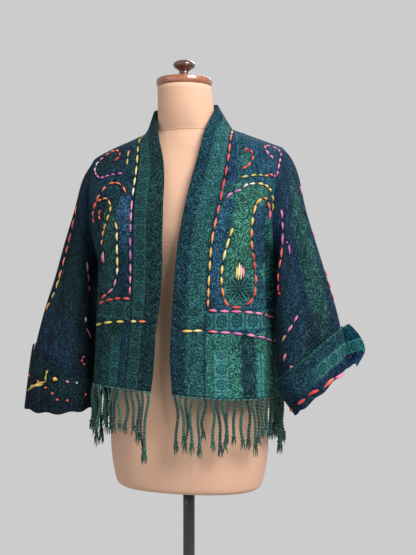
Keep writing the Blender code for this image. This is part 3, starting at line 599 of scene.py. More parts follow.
level = body_levels()
opening = dict(zip(OPENING_COLUMNS, smooth(OPENING, LEVEL_CUTS).T))


def front_points(side):
    """The front of one side: rows are conic arcs from the band's seam to the armhole and the side seam,
    with its large folds pushed in or out."""
    seam = stack(opening["left_seam" if side > 0 else "right_seam"], level["seam_y"], level["seam_z"])
    edge = stack(level["side_x"], level["side_y"], level["side_z"])
    corner = stack(level["corner_x"], level["corner_y"], (level["seam_z"] + level["side_z"]) / 2)
    across = np.linspace(0, 1, FRONT_SPANS + 1)
    points = settle(mirrored(arc_rows(seam, corner, edge, across), side))
    depth = fold_depths(points, across, LEFT_FOLDS if side > 0 else RIGHT_FOLDS)
    return pushed(points, depth, flip=side < 0)


def running(lengths):
    """The distances from the start to the end of each length, with 0 for the start."""
    return np.concatenate([[0], np.cumsum(lengths)])


def full_round(grid, closed):
    """The grid, with its first column again at the end if it is closed."""
    return np.concatenate([grid, grid[:, :1]], axis=1) if closed else grid


def laid_flat(points, closed=False):
    """How far each column and each row lies from the piece's corner in mm, averaged over the piece."""
    across = np.linalg.norm(np.diff(full_round(points, closed), axis=1), axis=2).mean(axis=0)
    down = np.linalg.norm(np.diff(points, axis=0), axis=2).mean(axis=1)
    return 1000 * running(across), 1000 * running(down)


def strip(place, start, stop, fade):
    """A strip from start to stop: 1 in it and 0 outside, with smooth steps of this width at its edges."""
    return step((place - start) / fade + 0.5) * step((stop - place) / fade + 0.5)


# Soft edges of the dyes: where a patch ends and over what share of it, then in mm for stripes and rows.
PATCH_END, PATCH_FADE = 1.35, 0.5
STRIPE_FADE, ROW_FADE = 7, 4


def dyed(across, down, ground, patches, start=None, stripes=()):
    """The dye of every point: the ground, soft oval patches over it, and a border's stripes from a line down.
    Also gives how much of the woven rosette shows."""
    u, v = np.meshgrid(across, down)
    dye = np.broadcast_to(ground, (*u.shape, 3)).copy()
    rosette = np.zeros(u.shape)
    for patch in named(PATCH_COLUMNS, patches):
        x = (u - patch["across"] - patch["lean"] * (v - patch["down"])) / patch["half_across"]
        y = (v - patch["down"]) / patch["half_down"]
        weight = (patch["cover"] * step((PATCH_END - np.hypot(x, y)) / PATCH_FADE))[..., None]
        dye = dye * (1 - weight) + patch["dye"] * weight
    for stripe in named(STRIPE_COLUMNS, stripes):
        weight = (strip(u, stripe["start"], stripe["stop"], STRIPE_FADE)
                  * step((v - start - stripe["below"]) / ROW_FADE))
        dye = dye * (1 - weight[..., None]) + stripe["dye"] * weight[..., None]
        rosette += stripe["rosette"] * weight
    return dye, rosette


def on_cloth(cloth, spots):
    """The place and the outward direction at spots given in mm across and down: for each a blend of the
    four points of the grid round it, by how near they are."""
    points, normals, across, down = cloth
    column = np.interp(spots[..., 0], across, np.arange(len(across)))
    row = np.interp(spots[..., 1], down, np.arange(len(down)))
    i = np.minimum(row.astype(int), len(down) - 2)
    j = np.minimum(column.astype(int), len(across) - 2)
    a, b = (row - i)[..., None], (column - j)[..., None]

    def blend(grid):
        """The value between four points of a grid."""
        return (grid[i, j] * (1 - a) * (1 - b) + grid[i + 1, j] * a * (1 - b)
                + grid[i, j + 1] * (1 - a) * b + grid[i + 1, j + 1] * a * b)
    return blend(points), unit(blend(normals))


# A stitch covers this share of its pitch, is this much thinner than wide, and rises and sinks this far.
# Hand work: the stitches of a row shift and differ in length by these shares.
STITCH_RINGS, STITCH_SIDES, CURVE_CUTS = 9, 6, 12
STITCH_SHARE, STITCH_FLATNESS = 0.76, 0.62
STITCH_RISE, STITCH_SINK = 0.0022, 0.0008
STITCH_SHIFT, STITCH_STRETCH = 0.06, 0.12


def stitch_row(cloth, pitch, width, threads, spots):
    """Running stitches along the smooth curve through the spots. Each is a bead round a line that rises from
    the cloth and dives back as a half sine, and its girth follows a flatter half sine."""
    path = smooth(spots, CURVE_CUTS) if len(spots) > 2 else np.asarray(spots, float)
    run = running(np.hypot(*np.diff(path, axis=0).T))
    count = max(1, round(run[-1] / pitch)) if pitch else 1
    share = STITCH_SHARE if pitch else 1.0
    order = np.arange(count)
    along = np.linspace(0, 1, STITCH_RINGS)
    first = order + (1 - share) / 2 + (STITCH_SHIFT * np.sin(2.4 * order + path[0, 0]) if pitch else 0)
    reach = share * (1 + (STITCH_STRETCH * np.sin(1.7 * order + path[0, 1]) if pitch else 0))
    at = (first[:, None] + np.broadcast_to(reach, count)[:, None] * along) * run[-1] / count
    middle, out = on_cloth(cloth, np.stack([np.interp(at, run, path[:, k]) for k in (0, 1)], axis=-1))
    ahead = unit(np.gradient(middle, axis=1))
    side = unit(np.cross(out, ahead))
    arch = np.sin(math.pi * np.clip(along, 0.02, 0.98))
    girth = (width / 2000 * arch ** 0.55)[None, :, None, None]
    turn = np.linspace(-math.pi / 2, 1.5 * math.pi, STITCH_SIDES, endpoint=False)[None, None, :, None]
    spine = middle + out * (STITCH_RISE * arch ** 0.8 - STITCH_SINK)[:, None]
    points = (spine[:, :, None] + side[:, :, None] * np.cos(turn) * girth
              + out[:, :, None] * np.sin(turn) * girth * STITCH_FLATNESS)
    shades = np.array([FLOSS[name] for name in threads.split()])
    place = (at / run[-1]).clip(0, 1) * (len(shades) - 1)
    dye = np.stack([np.interp(place, np.arange(len(shades)), shades[:, k]) for k in range(3)], axis=-1)
    dye = np.broadcast_to(dye[:, :, None], points.shape)
    return points, dye, middle[:, [0, -1]].reshape(-1, 3)


def with_alpha(colours):
    """Colours with a fourth value of 1, one row for each point."""
    return np.concatenate([colours, np.ones((*colours.shape[:-1], 1))], axis=-1).reshape(-1, 4)


def embroider(name, faces_and_rows):
    """All the stitches of one piece as one mesh. Returns it and the places where they enter the cloth."""
    made = [stitch_row(cloth, *row) for cloth, rows in faces_and_rows for row in rows]
    points, dye = (np.concatenate([part[k] for part in made]) for k in (0, 1))
    holes = np.concatenate([part[2] for part in made])
    size = STITCH_RINGS * STITCH_SIDES
    first = size * np.arange(len(points))[:, None, None]
    faces = (cells(STITCH_RINGS, STITCH_SIDES, closed=True, flip=True)[None] + first).reshape(-1, 4).tolist()
    caps = np.stack([np.arange(STITCH_SIDES), size - 1 - np.arange(STITCH_SIDES)])
    faces += (caps[None] + first).reshape(-1, STITCH_SIDES).tolist()
    turn = np.broadcast_to(np.linspace(0, 1, STITCH_SIDES)[None, None, :], points.shape[:3])
    along = np.broadcast_to(np.linspace(0, 1, STITCH_RINGS)[None, :, None], points.shape[:3])
    values = {"dye": with_alpha(dye), "round": turn.ravel(), "along": along.ravel()}
    return add_piece(name, points, faces, floss, values=values), holes


def value_of(tree, label, output="Fac"):
    """What the mesh holds at each point under this label."""
    return node(tree, "Attribute", {}, attribute_name=label).outputs[output]


def rising(tree, low, span, value):
    """The low number and, on top of it, the span times the value."""
    return maths(tree, "ADD", low, maths(tree, "MULTIPLY", value, span))


def falling(tree, span, value):
    """One less the span times the value."""
    return maths(tree, "SUBTRACT", 1.0, maths(tree, "MULTIPLY", value, span))


def scaled(tree, colour, share):
    """The colour, made darker or lighter by a share."""
    return node(tree, "VectorMath", {0: colour, "Scale": share}, operation="SCALE").outputs[0]


STRANDS_ROUND, STRANDS_TWIST, FUZZ_SCALE = 44.0, 5.0, 700.0


def floss_finish():
    """Stranded cotton floss: its variegated dye, with fine strands that lie nearly along each stitch."""
    made, tree, shader = new_finish("stranded_floss", 0.5, Sheen_Weight=0.2, Sheen_Roughness=0.3)
    dye, turn, along = value_of(tree, "dye", "Color"), value_of(tree, "round"), value_of(tree, "along")
    place = object_place(tree)
    phase = maths(tree, "ADD", maths(tree, "MULTIPLY", turn, STRANDS_ROUND),
                  maths(tree, "MULTIPLY", along, STRANDS_TWIST))
    strands = maths(tree, "ABSOLUTE", maths(tree, "SINE", phase))
    fuzz = noise(tree, place, FUZZ_SCALE, 2.0)
    shade = maths(tree, "MULTIPLY", rising(tree, 0.62, 0.46, strands), rising(tree, 0.75, 0.5, fuzz))
    coloured(tree, shader, scaled(tree, dye, shade), strands, 0.7, 0.0005)
    return made


# Sizes of the weave: lumps a metre of its meander, yarn specks and slow changes, and turns of the meander.
MEANDER_SCALE, MEANDER_LINES, SPECK_SCALE, SLOW_SCALE = 62.0, 13.0, 380.0, 20.0
# How much of the dye the dark and the light yarns of the weave take up.
DARK_TAKES, LIGHT_TAKES = 0.12, 2.75
# The rosette of one repeat: its petals, and in shares of the repeat how far they reach, where its ring lies
# and where its eye and the lattice round it begin and end.
ROSETTE_PETALS, PETAL_REACH, RING_AT = 8.0, 0.035, 0.19
EYE, LATTICE = (0.08, 0.04), (0.43, 0.46)
# A bloom's leafy outline: its lobes, the least distance from its middle, and how far each leaf reaches.
BLOOM_TURNS, BLOOM_WAIST, LEAF_REACH = 3.0, 0.28, 0.62


def away_and_turn(tree, source):
    """The distance from the middle of a repeat and the angle round it, and both its coordinates."""
    parts = node(tree, "SeparateXYZ", {0: source})
    x, y = parts.outputs[0], parts.outputs[1]
    square = maths(tree, "ADD", maths(tree, "MULTIPLY", x, x), maths(tree, "MULTIPLY", y, y))
    return maths(tree, "SQRT", square), maths(tree, "ARCTAN2", y, x), x, y


def rosette_figure(tree):
    """A dark rosette in a square of each repeat: a petalled rim and ring, by the distance from its middle."""
    repeat = value_of(tree, "repeat", "Vector")
    middle = node(tree, "VectorMath", {0: repeat}, operation="FRACTION").outputs[0]
    middle = node(tree, "VectorMath", {0: middle, 1: (0.5, 0.5, 0.0)}, operation="SUBTRACT").outputs[0]
    away, turn, x, y = away_and_turn(tree, middle)
    lobes = maths(tree, "COSINE", maths(tree, "MULTIPLY", turn, ROSETTE_PETALS))
    edge = maths(tree, "SUBTRACT", away, maths(tree, "MULTIPLY", lobes, PETAL_REACH))
    rim = between(tree, edge, 0.30, 0.40)
    from_ring = maths(tree, "ABSOLUTE", maths(tree, "SUBTRACT", edge, RING_AT))
    ring = maths(tree, "MULTIPLY", between(tree, from_ring, 0.055, 0.02), 0.8)
    flower = maths(tree, "MAXIMUM", rim, ring)
    flower = maths(tree, "MAXIMUM", flower, between(tree, away, *EYE))
    reach = maths(tree, "MAXIMUM", maths(tree, "ABSOLUTE", x), maths(tree, "ABSOLUTE", y))
    lattice = between(tree, reach, *LATTICE)
    return maths(tree, "MULTIPLY", flower, falling(tree, 0.75, lattice))


def leafy_figure(tree, figure):
    """The ground's figure, darker inside each bloom and light along its leafy outline and its veins."""
    away, turn, _, _ = away_and_turn(tree, value_of(tree, "bloom", "Vector"))
    leaf = maths(tree, "ABSOLUTE", maths(tree, "COSINE", maths(tree, "MULTIPLY", turn, BLOOM_TURNS)))
    rim = maths(tree, "SUBTRACT", away, rising(tree, BLOOM_WAIST, LEAF_REACH, leaf))
    outline = between(tree, maths(tree, "ABSOLUTE", rim), 0.085, 0.035)
    vein = maths(tree, "MULTIPLY", between(tree, leaf, 0.955, 0.985), between(tree, rim, 0.0, -0.06))
    figure = maths(tree, "MULTIPLY", figure, falling(tree, 0.55, between(tree, rim, 0.06, -0.06)))
    lines = maths(tree, "MULTIPLY", maths(tree, "MAXIMUM", outline, vein), 0.75)
    return maths(tree, "MAXIMUM", figure, lines)


def shawl_finish(name, paleness_and_painted_light):
    """The shawl's weave: each point's dye, lightened along a meandering jacquard line and by salt and pepper
    yarns. Borders weave a dark rosette in each repeat instead, and blooms a leafy outline."""
    made, tree, shader = new_finish(name, 0.9, Sheen_Weight=0.02, Sheen_Roughness=0.5,
                                    Specular_IOR_Level=0.05)
    place = node(tree, "UVMap", {}, uv_map="weave").outputs["UV"]
    dye, rosette = value_of(tree, "dye", "Color"), value_of(tree, "rosette")
    drift = noise(tree, place, MEANDER_SCALE, 1.0, Distortion=0.8)
    wave = maths(tree, "PINGPONG", maths(tree, "MULTIPLY", drift, MEANDER_LINES), 1.0)
    meander = between(tree, wave, 0.45, 0.75)
    speck = between(tree, noise(tree, place, SPECK_SCALE, 1.0), 0.44, 0.58)
    ground = maths(tree, "MULTIPLY", rising(tree, 0.25, 0.75, meander), rising(tree, 0.20, 0.80, speck))
    border = maths(tree, "MULTIPLY", rising(tree, 0.18, 0.72, rosette_figure(tree)),
                   rising(tree, 0.45, 0.55, speck))
    figure = node(tree, "Mix", {0: rosette, 2: ground, 3: border}).outputs[0]
    figure = leafy_figure(tree, figure)
    slow = rising(tree, 0.65, 0.7, noise(tree, place, SLOW_SCALE, 2.0))
    yarns = []
    # The paleness lightens the dye; on the wrong side most of it is painted light.
    for share, yarn_dye in ((DARK_TAKES, DARK_YARN), (LIGHT_TAKES, LIGHT_YARN)):
        yarns.append(node(tree, "VectorMath", {0: scaled(tree, dye, share * paleness_and_painted_light), 1: yarn_dye},
                          operation="ADD").outputs[0])
    coloured(tree, shader, scaled(tree, mixed(tree, figure, *yarns), slow), figure, 0.55, 0.0007)
    return made


floss = floss_finish()
# The wrong side of a jacquard shows more of the pale yarn, but the wrong side here is much paler than that:
# most of its paleness is painted light, lightening inside faces that lie in shade, such as the inside of the
# left cuff's flap.
RIGHT_SIDE_PALENESS_AND_PAINTED_LIGHT, WRONG_SIDE_PALENESS_AND_PAINTED_LIGHT = 1.0, 8.0
shawl = shawl_finish("jacquard_shawl", RIGHT_SIDE_PALENESS_AND_PAINTED_LIGHT)
lit_wrong_side = shawl_finish("jacquard_wrong_side_painted_light", WRONG_SIDE_PALENESS_AND_PAINTED_LIGHT)
# Where a stitch enters, the cloth is dented: how far round it, how deep, and how much darker its dye is
# painted there as painted shade in the dent.
PIT_REACH, PIT_DEPTH, PIT_PAINTED_SHADE = 0.0045, 0.0018, 0.5
# A bloom's drawing ends at this many radii from its middle, and a point without one counts as far off.
BLOOM_REACH, FAR_OFF = 1.3, 9.0


def stitch_pits(points, holes):
    """How far each point lies in a dent, 0 to 1: a bell shape by its distance to the nearest stitch's end."""
    near = np.full(points.shape[:2], FAR_OFF)
    for hole in holes:
        near = np.minimum(near, np.linalg.norm(points - hole, axis=2))
    return bell(near / PIT_REACH)


def in_blooms(u, v, blooms):
    """How far across and down each point lies from the middle of its bloom, in radii of the bloom."""
    place = np.full((*u.shape, 2), FAR_OFF)
    for at_u, at_v, radius in blooms:
        own = np.stack([u - at_u, v - at_v], axis=-1) / radius
        place = np.where((np.hypot(*np.moveaxis(own, -1, 0)) < BLOOM_REACH)[..., None], own, place)
    return np.moveaxis(place, -1, 0)


def weave_piece(name, node_name, points, colouring, repeat, blooms, rows,
                shade=1.0, closed=False, flip=False, inner_rows=()):
    """One cut piece: its outer points, dented where stitches enter and darkened there by painted shade, given
    a cloth's thickness.
    Its stitches ride on it."""
    across, down = laid_flat(points, closed)
    columns = points.shape[1]
    whole, normals = full_round(points, closed), full_round(outward(points, closed, flip), closed)
    outer, inner = (whole, normals, across, down), (whole - CLOTH * normals, -normals, across, down)
    threads, holes = embroider(name + "_stitches", ((outer, rows), (inner, inner_rows)))
    dye, rosette = colouring(across, down)
    # The piece's shade darkens its dye: partly its own darkness, and on the wearer's right side painted
    # shade.
    dye, rosette = dye[:, :columns] * shade, rosette[:, :columns]
    pit = stitch_pits(points, holes)
    # Painted shade: the dye is darkened in the dent round each stitch's end.
    dye = dye * (1 - PIT_PAINTED_SHADE * pit[..., None])
    points = pushed(points, -PIT_DEPTH * pit, closed, flip)
    u, v = np.meshgrid(across, down)
    place = np.stack([u, -v], axis=-1).reshape(-1, 2) / 1000
    picked = cells(*u.shape, flip=flip)
    u, v = u[:, :columns], v[:, :columns]
    values = {"dye": with_alpha(dye), "rosette": rosette.ravel()}
    empty = np.zeros(u.shape)
    for label, (x, y) in (("repeat", repeat(u, v)), ("bloom", in_blooms(u, v, blooms))):
        values[label] = np.stack([x, y, empty, empty], axis=-1).reshape(-1, 4)
    made = add_piece(name, points, cells(*points.shape[:2], closed, flip).tolist(), shawl,
                     uv=place[picked], values=values)
    wall = made.modifiers.new("cloth thickness", "SOLIDIFY")
    wall.thickness = CLOTH
    wall.offset = -1.0
    # The other face takes the wrong side's finish, lightened by painted light.
    made.data.materials.append(lit_wrong_side)
    wall.material_offset = 1
    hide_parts(node_name)
    return made


# Repeats of the woven border: how wide and tall each is in mm, and how many lie above and below the squares.
REPEAT_WIDTH, REPEAT_HEIGHT = 28.0, 31.0
REPEATS_ABOVE, REPEATS_BELOW = 13, 10


def border_repeat(rows):
    """Repeats of the woven border: one tall row between the two rows of stitches, and even ones below it."""
    start, stop = rows
    heights = (0, start, stop, stop + REPEATS_BELOW * REPEAT_HEIGHT)
    counts = (-REPEATS_ABOVE, 0, 1, 1 + REPEATS_BELOW)
    return lambda u, v: (u / REPEAT_WIDTH + 0.5, np.interp(v, heights, counts))


def bordered(across, down, patches, stripes, rows):
    """The dyes of a piece with dark squares between its two rows of stitches and a border below them."""
    dye, rosette = dyed(across, down, TEAL, patches, rows[1] + ROW_FADE, stripes)
    row = (step((down - rows[0]) / ROW_FADE) * step((rows[1] - down) / ROW_FADE))[:, None]
    return dye * (1 - row[..., None]) + SQUARES * row[..., None], np.maximum(rosette, row)


FRONT_ACROSS, FRONT_DOWN = 0.22, 0.56
# Painted shade: the wearer's right front lies away from the key light, so its dye is darkened.
RIGHT_FRONT_PAINTED_SHADE = 0.52
fronts = {side: front_points(side) for side in (1, -1)}
for side, table in ((1, LEFT_CREASES), (-1, RIGHT_CREASES)):
    creases = crease_depths(fronts[side].shape[:2], FRONT_ACROSS, FRONT_DOWN, table)
    fronts[side] = pushed(fronts[side], creases, flip=side < 0)
weave_piece("front_left_cloth", "jacket_front_left", fronts[1],
            lambda across, down: bordered(across, down, LEFT_PATCHES, LEFT_STRIPES, LEFT_ROWS),
            border_repeat(LEFT_ROWS), LEFT_BLOOMS, LEFT_STITCHES)
weave_piece("front_right_cloth", "jacket_front_right", fronts[-1],
            lambda across, down: bordered(across, down, RIGHT_PATCHES, RIGHT_STRIPES, RIGHT_ROWS),
            border_repeat(RIGHT_ROWS), RIGHT_BLOOMS, RIGHT_STITCHES,
            shade=RIGHT_FRONT_PAINTED_SHADE, flip=True)

# The bands: two shaped strips of the shawl's edge, joined at the centre back. They finish the opening
# and stand up round the neck as a collar. Rosettes are woven along the seam, plain tweed along the edge.

# Round the neck: the seam's three coordinates, then the free edge's, from the shoulder to the centre back.
NECK = (
    (0.083, 0.034, 1.368, 0.0635, 0.008, 1.4135),
    (0.047, 0.055, 1.372, 0.045, 0.038, 1.421),
    (0.000, 0.063, 1.373, 0.000, 0.050, 1.422),
)
NECK_CUTS = 18
BAND_SPANS = 24
BAND_BOW = 0.004
BOW_TOP, BOW_FADE = 1.400, 0.100
# Ripples of the free edge: where along the band (0 hem, 1 centre back), over what length, and how far out.
RIPPLE_COLUMNS = ("along", "length", "out")
LEFT_RIPPLES = ((0.06, 0.030, 0.0030), (0.15, 0.035, -0.0030), (0.27, 0.040, 0.0024), (0.42, 0.035, -0.0022),
                (0.55, 0.030, 0.0026), (0.66, 0.030, -0.0020))
RIGHT_RIPPLES = ((0.05, 0.035, -0.0030), (0.13, 0.030, 0.0030), (0.24, 0.045, -0.0022), (0.38, 0.035, 0.0024),
                 (0.52, 0.035, -0.0024), (0.64, 0.030, 0.0020))
ROSETTES_FROM, NARROW_REPEAT = 3, 29.0
BAND_STRIPES = {1: ((ROSETTES_FROM, 35, PALE, 0.15, 0),),
                -1: ((ROSETTES_FROM, 32, PALE, 0.6, 0), (32, 80, DUSK, 0.0, 0))}
# How dark each band is: its own dye, and on the wearer's right also painted shade, as that side lies away
# from the key light. The bands also get lighter from the hem to the centre back.
BAND_DYE_AND_PAINTED_SHADE = {1: 0.62, -1: 0.40}
BAND_FADE = (0.85, 1.20)
BAND_STITCHES = {1: ((23, 6.0, "orange yellow pale orange", ((46, 128), (23, 131), (0, 133))),),
                 -1: ((20, 6.0, "yellow pale orange coral", ((0, 138), (18, 139), (38, 140))),)}


def band_points(side):
    """From the hem up the front, then round the neck: rows run straight from the seam to the free edge,
    bowed out as a parabola, and rippled by bell shapes that grow by the square of the way across."""
    edge_x = opening["left_edge" if side > 0 else "right_edge"]
    front_edge = stack(edge_x, level["edge_y"], level["edge_z"])[::-1]
    top_seam = mirrored(fronts[side][0, 0], side)
    neck = np.vstack([np.hstack([top_seam, front_edge[-1]]), np.array(NECK)])
    neck = smooth(neck, NECK_CUTS)[1:]
    seam = np.vstack([mirrored(fronts[side][::-1, 0], side), neck[:, :3]])
    edge = np.vstack([mirrored(settle(mirrored(front_edge, side)), side), neck[:, 3:]])
    across = np.linspace(0, 1, BAND_SPANS + 1)[None, :]
    points = mirrored(seam[:, None] * (1 - across[..., None]) + edge[:, None] * across[..., None], side)
    along = np.linspace(0, 1, len(points))[:, None]
    depth = BAND_BOW * 4 * across * (1 - across) * step((BOW_TOP - points[:, -1:, 2]) / BOW_FADE)
    for ripple in named(RIPPLE_COLUMNS, LEFT_RIPPLES if side > 0 else RIGHT_RIPPLES):
        depth = depth + ripple["out"] * across ** 2 * bell((along - ripple["along"]) / ripple["length"])
    return pushed(points, depth, flip=side < 0)


def band_dyes(side):
    """Stripes along the whole band."""
    return lambda across, down: dyed(across, down, TEAL, (), -10, BAND_STRIPES[side])


def band_repeat(u, v):
    """One row of rosettes along the band, beside its seam."""
    return (u - ROSETTES_FROM) / NARROW_REPEAT, v / REPEAT_HEIGHT


bands = {side: band_points(side) for side in (1, -1)}
for side, name in ((1, "band_left"), (-1, "band_right")):
    fade = np.linspace(*BAND_FADE, len(bands[side]))[:, None, None]
    weave_piece(name + "_cloth", name, bands[side], band_dyes(side), band_repeat, (),
                BAND_STITCHES[side],
                shade=BAND_DYE_AND_PAINTED_SHADE[side] * fade, flip=side < 0)

# The back: one width of the shawl, its border at the hem, sewn to the fronts at shoulders and sides.
# Both halves repeat the left front's woven and stitched figures; the panel between them has its own.
BACK_TOP_SHARE = 4
BACK_ACROSS, BACK_DOWN = 0.62, 0.56
BACK_FOLDS = (
    (0.30, 0.090, 1.170, 0.780, -0.008, 0.02),
    (0.58, 0.090, 1.150, 0.780, 0.010, -0.02),
    (0.82, 0.060, 1.220, 0.930, -0.014, 0.02),
)
BACK_RIGHT_FOLDS = 0.6
BACK_CREASES = (
    (0.05, 0.30, 0.20, 0.46, 0.0080, -0.0028),
    (0.06, 0.42, 0.24, 0.52, 0.0070, 0.0022),
    (0.95, 0.30, 0.78, 0.44, 0.0080, -0.0028),
    (0.94, 0.44, 0.80, 0.54, 0.0070, 0.0022),
    (0.36, 0.16, 0.64, 0.18, 0.0090, -0.0020),
    (0.28, 0.62, 0.25, 1.05, 0.0100, 0.0026),
    (0.42, 0.55, 0.44, 1.05, 0.0110, -0.0024),
    (0.56, 0.60, 0.55, 1.05, 0.0120, 0.0026),
    (0.70, 0.58, 0.73, 1.05, 0.0100, -0.0024),
)
BACK_MIDDLE, BACK_PANEL = 238, 60
MIDDLE_PATCHES = ((BACK_MIDDLE, 180, 34, 90, 0.0, GREEN, 0.8), (BACK_MIDDLE, 320, 40, 60, 0.0, NAVY, 0.8))
MIDDLE_BLOOMS = ((BACK_MIDDLE, 176, 24), (BACK_MIDDLE, 340, 26))
STRIPE_WIDTH, PALE_STRIPES, DEEP_STRIPES = 28, (20, 76, 188, 260, 316, 428), (132, 372)
BACK_CENTRE_STITCHES = (
    (25, 6.0, "coral pink hot pink coral", ((183, 408), (238, 406), (293, 408))),
    (25, 6.0, "orange yellow yellow orange", ((183, 452), (238, 450), (293, 452))),
    (22, 5.0, "olive yellow pale orange coral red coral orange yellow",
     ((238, 120), (218, 140), (208, 176), (220, 214), (238, 240), (256, 214), (268, 176), (258, 140),
      (240, 120))),
    (18, 5.0, "pink hot mauve pink", ((214, 300), (226, 284), (238, 300), (250, 284), (262, 300))),
)


def back_half(side, neck_seam):
    """Half of the back: rows are conic arcs, the top one moved onto the neckline and shoulder seam. That move
    fades by a square over the upper rows."""
    middle = stack(0.0, level["back_y"], level["seam_z"])
    middle[0, 2] = NECK[-1][2]
    edge = stack(level["side_x"], level["back_side_y"], level["side_z"])
    corner = stack(level["corner_x"], level["back_y"], (middle[:, 2] + level["side_z"]) / 2)
    across = np.linspace(0, 1, len(neck_seam) + FRONT_SPANS)
    rows = arc_rows(middle, corner, edge, across)
    top = np.vstack([neck_seam[::-1], mirrored(fronts[side][0, 1:], side)])
    fade = (1 - np.clip(np.linspace(0, BACK_TOP_SHARE, len(rows)), 0, 1)) ** 2
    rows = rows + (top - rows[0])[None] * fade[:, None, None]
    return settle(mirrored(rows, side)), across


def back_points():
    """The whole back, from the wearer's left side seam to the right."""
    halves = [back_half(side, mirrored(bands[side][len(fronts[side]) - 1:, 0], side)) for side in (1, -1)]
    (left, across), (right, _) = halves
    points = np.concatenate([left[:, ::-1], right[:, 1:]], axis=1)
    folds = fold_depths(points, np.concatenate([across[::-1], across[1:]]), BACK_FOLDS)
    folds = folds * np.where(points[..., 0] < 0, BACK_RIGHT_FOLDS, 1.0)
    return pushed(points, folds)


def on_back(across, side):
    """Where a distance from a front's corner lies on one half of the back, outwards from its middle panel."""
    return BACK_MIDDLE - side * (BACK_PANEL + across)


def back_stitches(side):
    """Curves of the left front, laid on one half of the back."""
    return tuple((pitch, width, threads, tuple((on_back(u, side), v) for u, v in spots))
                 for pitch, width, threads, spots in LEFT_STITCHES)


def back_dyes(across, down):
    """The left front's patches and border on both halves, and a plain green middle panel."""
    patches = [(on_back(row[0], side), *row[1:]) for side in (1, -1) for row in LEFT_PATCHES]
    stripes = [(-9, 500, BORDER, 0.0, 0)]
    stripes += [(start, start + STRIPE_WIDTH, PALE, 0.8, 34) for start in PALE_STRIPES]
    stripes += [(start, start + STRIPE_WIDTH, DEEP, 0.0, 0) for start in DEEP_STRIPES]
    return bordered(across, down, (*patches, *MIDDLE_PATCHES), stripes, LEFT_ROWS)


back = back_points()
back = pushed(back, crease_depths(back.shape[:2], BACK_ACROSS, BACK_DOWN, BACK_CREASES))
back_blooms = tuple((on_back(u, side), v, radius) for side in (1, -1) for u, v, radius in LEFT_BLOOMS)
weave_piece("back_cloth", "jacket_back", back, back_dyes, border_repeat(LEFT_ROWS),
            back_blooms + MIDDLE_BLOOMS, back_stitches(1) + back_stitches(-1) + BACK_CENTRE_STITCHES)

# The sleeves: wide tubes of the shawl set into dropped armholes, hanging a little forward. Soft folds run
# down each from its armhole, and stitched curves follow its woven figures.
RING_COLUMNS = ("top_x", "top_z", "under_x", "under_z", "middle_y", "half_depth", "front_drop")
LEFT_RINGS = (
    (0.222, 1.298, 0.2085, 1.055, 0.001, 0.066, 0.000),
    (0.239, 1.262, 0.2035, 1.028, -0.004, 0.062, 0.001),
    (0.257, 1.190, 0.1990, 0.985, -0.013, 0.056, 0.003),
    (0.280, 1.122, 0.2000, 0.944, -0.023, 0.052, 0.005),
    (0.306, 1.046, 0.2025, 0.900, -0.033, 0.051, 0.007),
    (0.328, 0.978, 0.2060, 0.858, -0.041, 0.052, 0.010),
    (0.342, 0.920, 0.2160, 0.818, -0.047, 0.054, 0.012),
    (0.350, 0.866, 0.2480, 0.774, -0.051, 0.056, 0.013),
)
RIGHT_RINGS = (
    (0.222, 1.298, 0.2085, 1.055, 0.001, 0.066, 0.000),
    (0.240, 1.266, 0.2120, 1.028, -0.004, 0.062, 0.001),
    (0.255, 1.202, 0.2100, 0.988, -0.014, 0.058, 0.002),
    (0.274, 1.130, 0.2065, 0.948, -0.026, 0.056, 0.003),
    (0.293, 1.052, 0.2045, 0.910, -0.037, 0.055, 0.004),
    (0.316, 0.975, 0.2028, 0.872, -0.046, 0.055, 0.006),
    (0.337, 0.885, 0.2052, 0.824, -0.053, 0.055, 0.008),
    (0.355, 0.768, 0.2060, 0.766, -0.058, 0.055, 0.010),
)
SLEEVE_CUTS = 15
SLEEVE_ACROSS, SLEEVE_DOWN = 0.40, 0.42
# How dark each sleeve is: its own dye, and on the wearer's right also painted shade, as that side lies away
# from the key light.
SLEEVE_DYE_AND_PAINTED_SHADE = {1: 0.54, -1: 0.36}
END_WAVE, END_WAVES = 0.0022, 9
SPAN_FADE_IN, SPAN_END, SPAN_FADE_OUT = 0.40, 1.35, 0.50
SLEEVE_FOLD_COLUMNS = ("angle", "width", "from_ring", "to_ring", "depth")
SLEEVE_FOLDS = (
    (62.0, 16.0, 1.0, 7.5, -0.008),
    (112.0, 18.0, 2.0, 8.0, 0.006),
    (255.0, 20.0, 1.0, 8.0, -0.008),
)
LEFT_SLEEVE_CREASES = (
    (0.12, 0.10, 0.10, 0.60, 0.0080, 0.0030),
    (0.22, 0.30, 0.20, 0.95, 0.0070, -0.0030),
    (0.30, 0.12, 0.16, 0.34, 0.0080, -0.0030),
    (0.42, 0.20, 0.26, 0.42, 0.0080, 0.0028),
    (0.60, 0.20, 0.72, 0.46, 0.0090, -0.0030),
    (0.78, 0.15, 0.80, 0.80, 0.0090, 0.0030),
    (0.88, 0.30, 0.90, 0.90, 0.0080, -0.0026),
)
RIGHT_SLEEVE_CREASES = (
    (0.10, 0.14, 0.12, 0.70, 0.0080, -0.0030),
    (0.18, 0.10, 0.20, 0.55, 0.0070, 0.0026),
    (0.34, 0.14, 0.20, 0.36, 0.0080, 0.0030),
    (0.30, 0.40, 0.28, 0.90, 0.0090, -0.0030),
    (0.62, 0.18, 0.74, 0.44, 0.0090, -0.0030),
    (0.80, 0.20, 0.78, 0.85, 0.0090, 0.0030),
)
SLEEVE_PAISLEY = (
    (22, 5.0, "gold orange coral red red coral orange yellow pale yellow",
     ((400, 120), (372, 136), (356, 176), (366, 226), (398, 256), (430, 232), (438, 186), (424, 150))),
    (18, 5.0, "pink hot mauve pink", ((330, 250), (318, 276), (300, 292), (280, 300))),
)
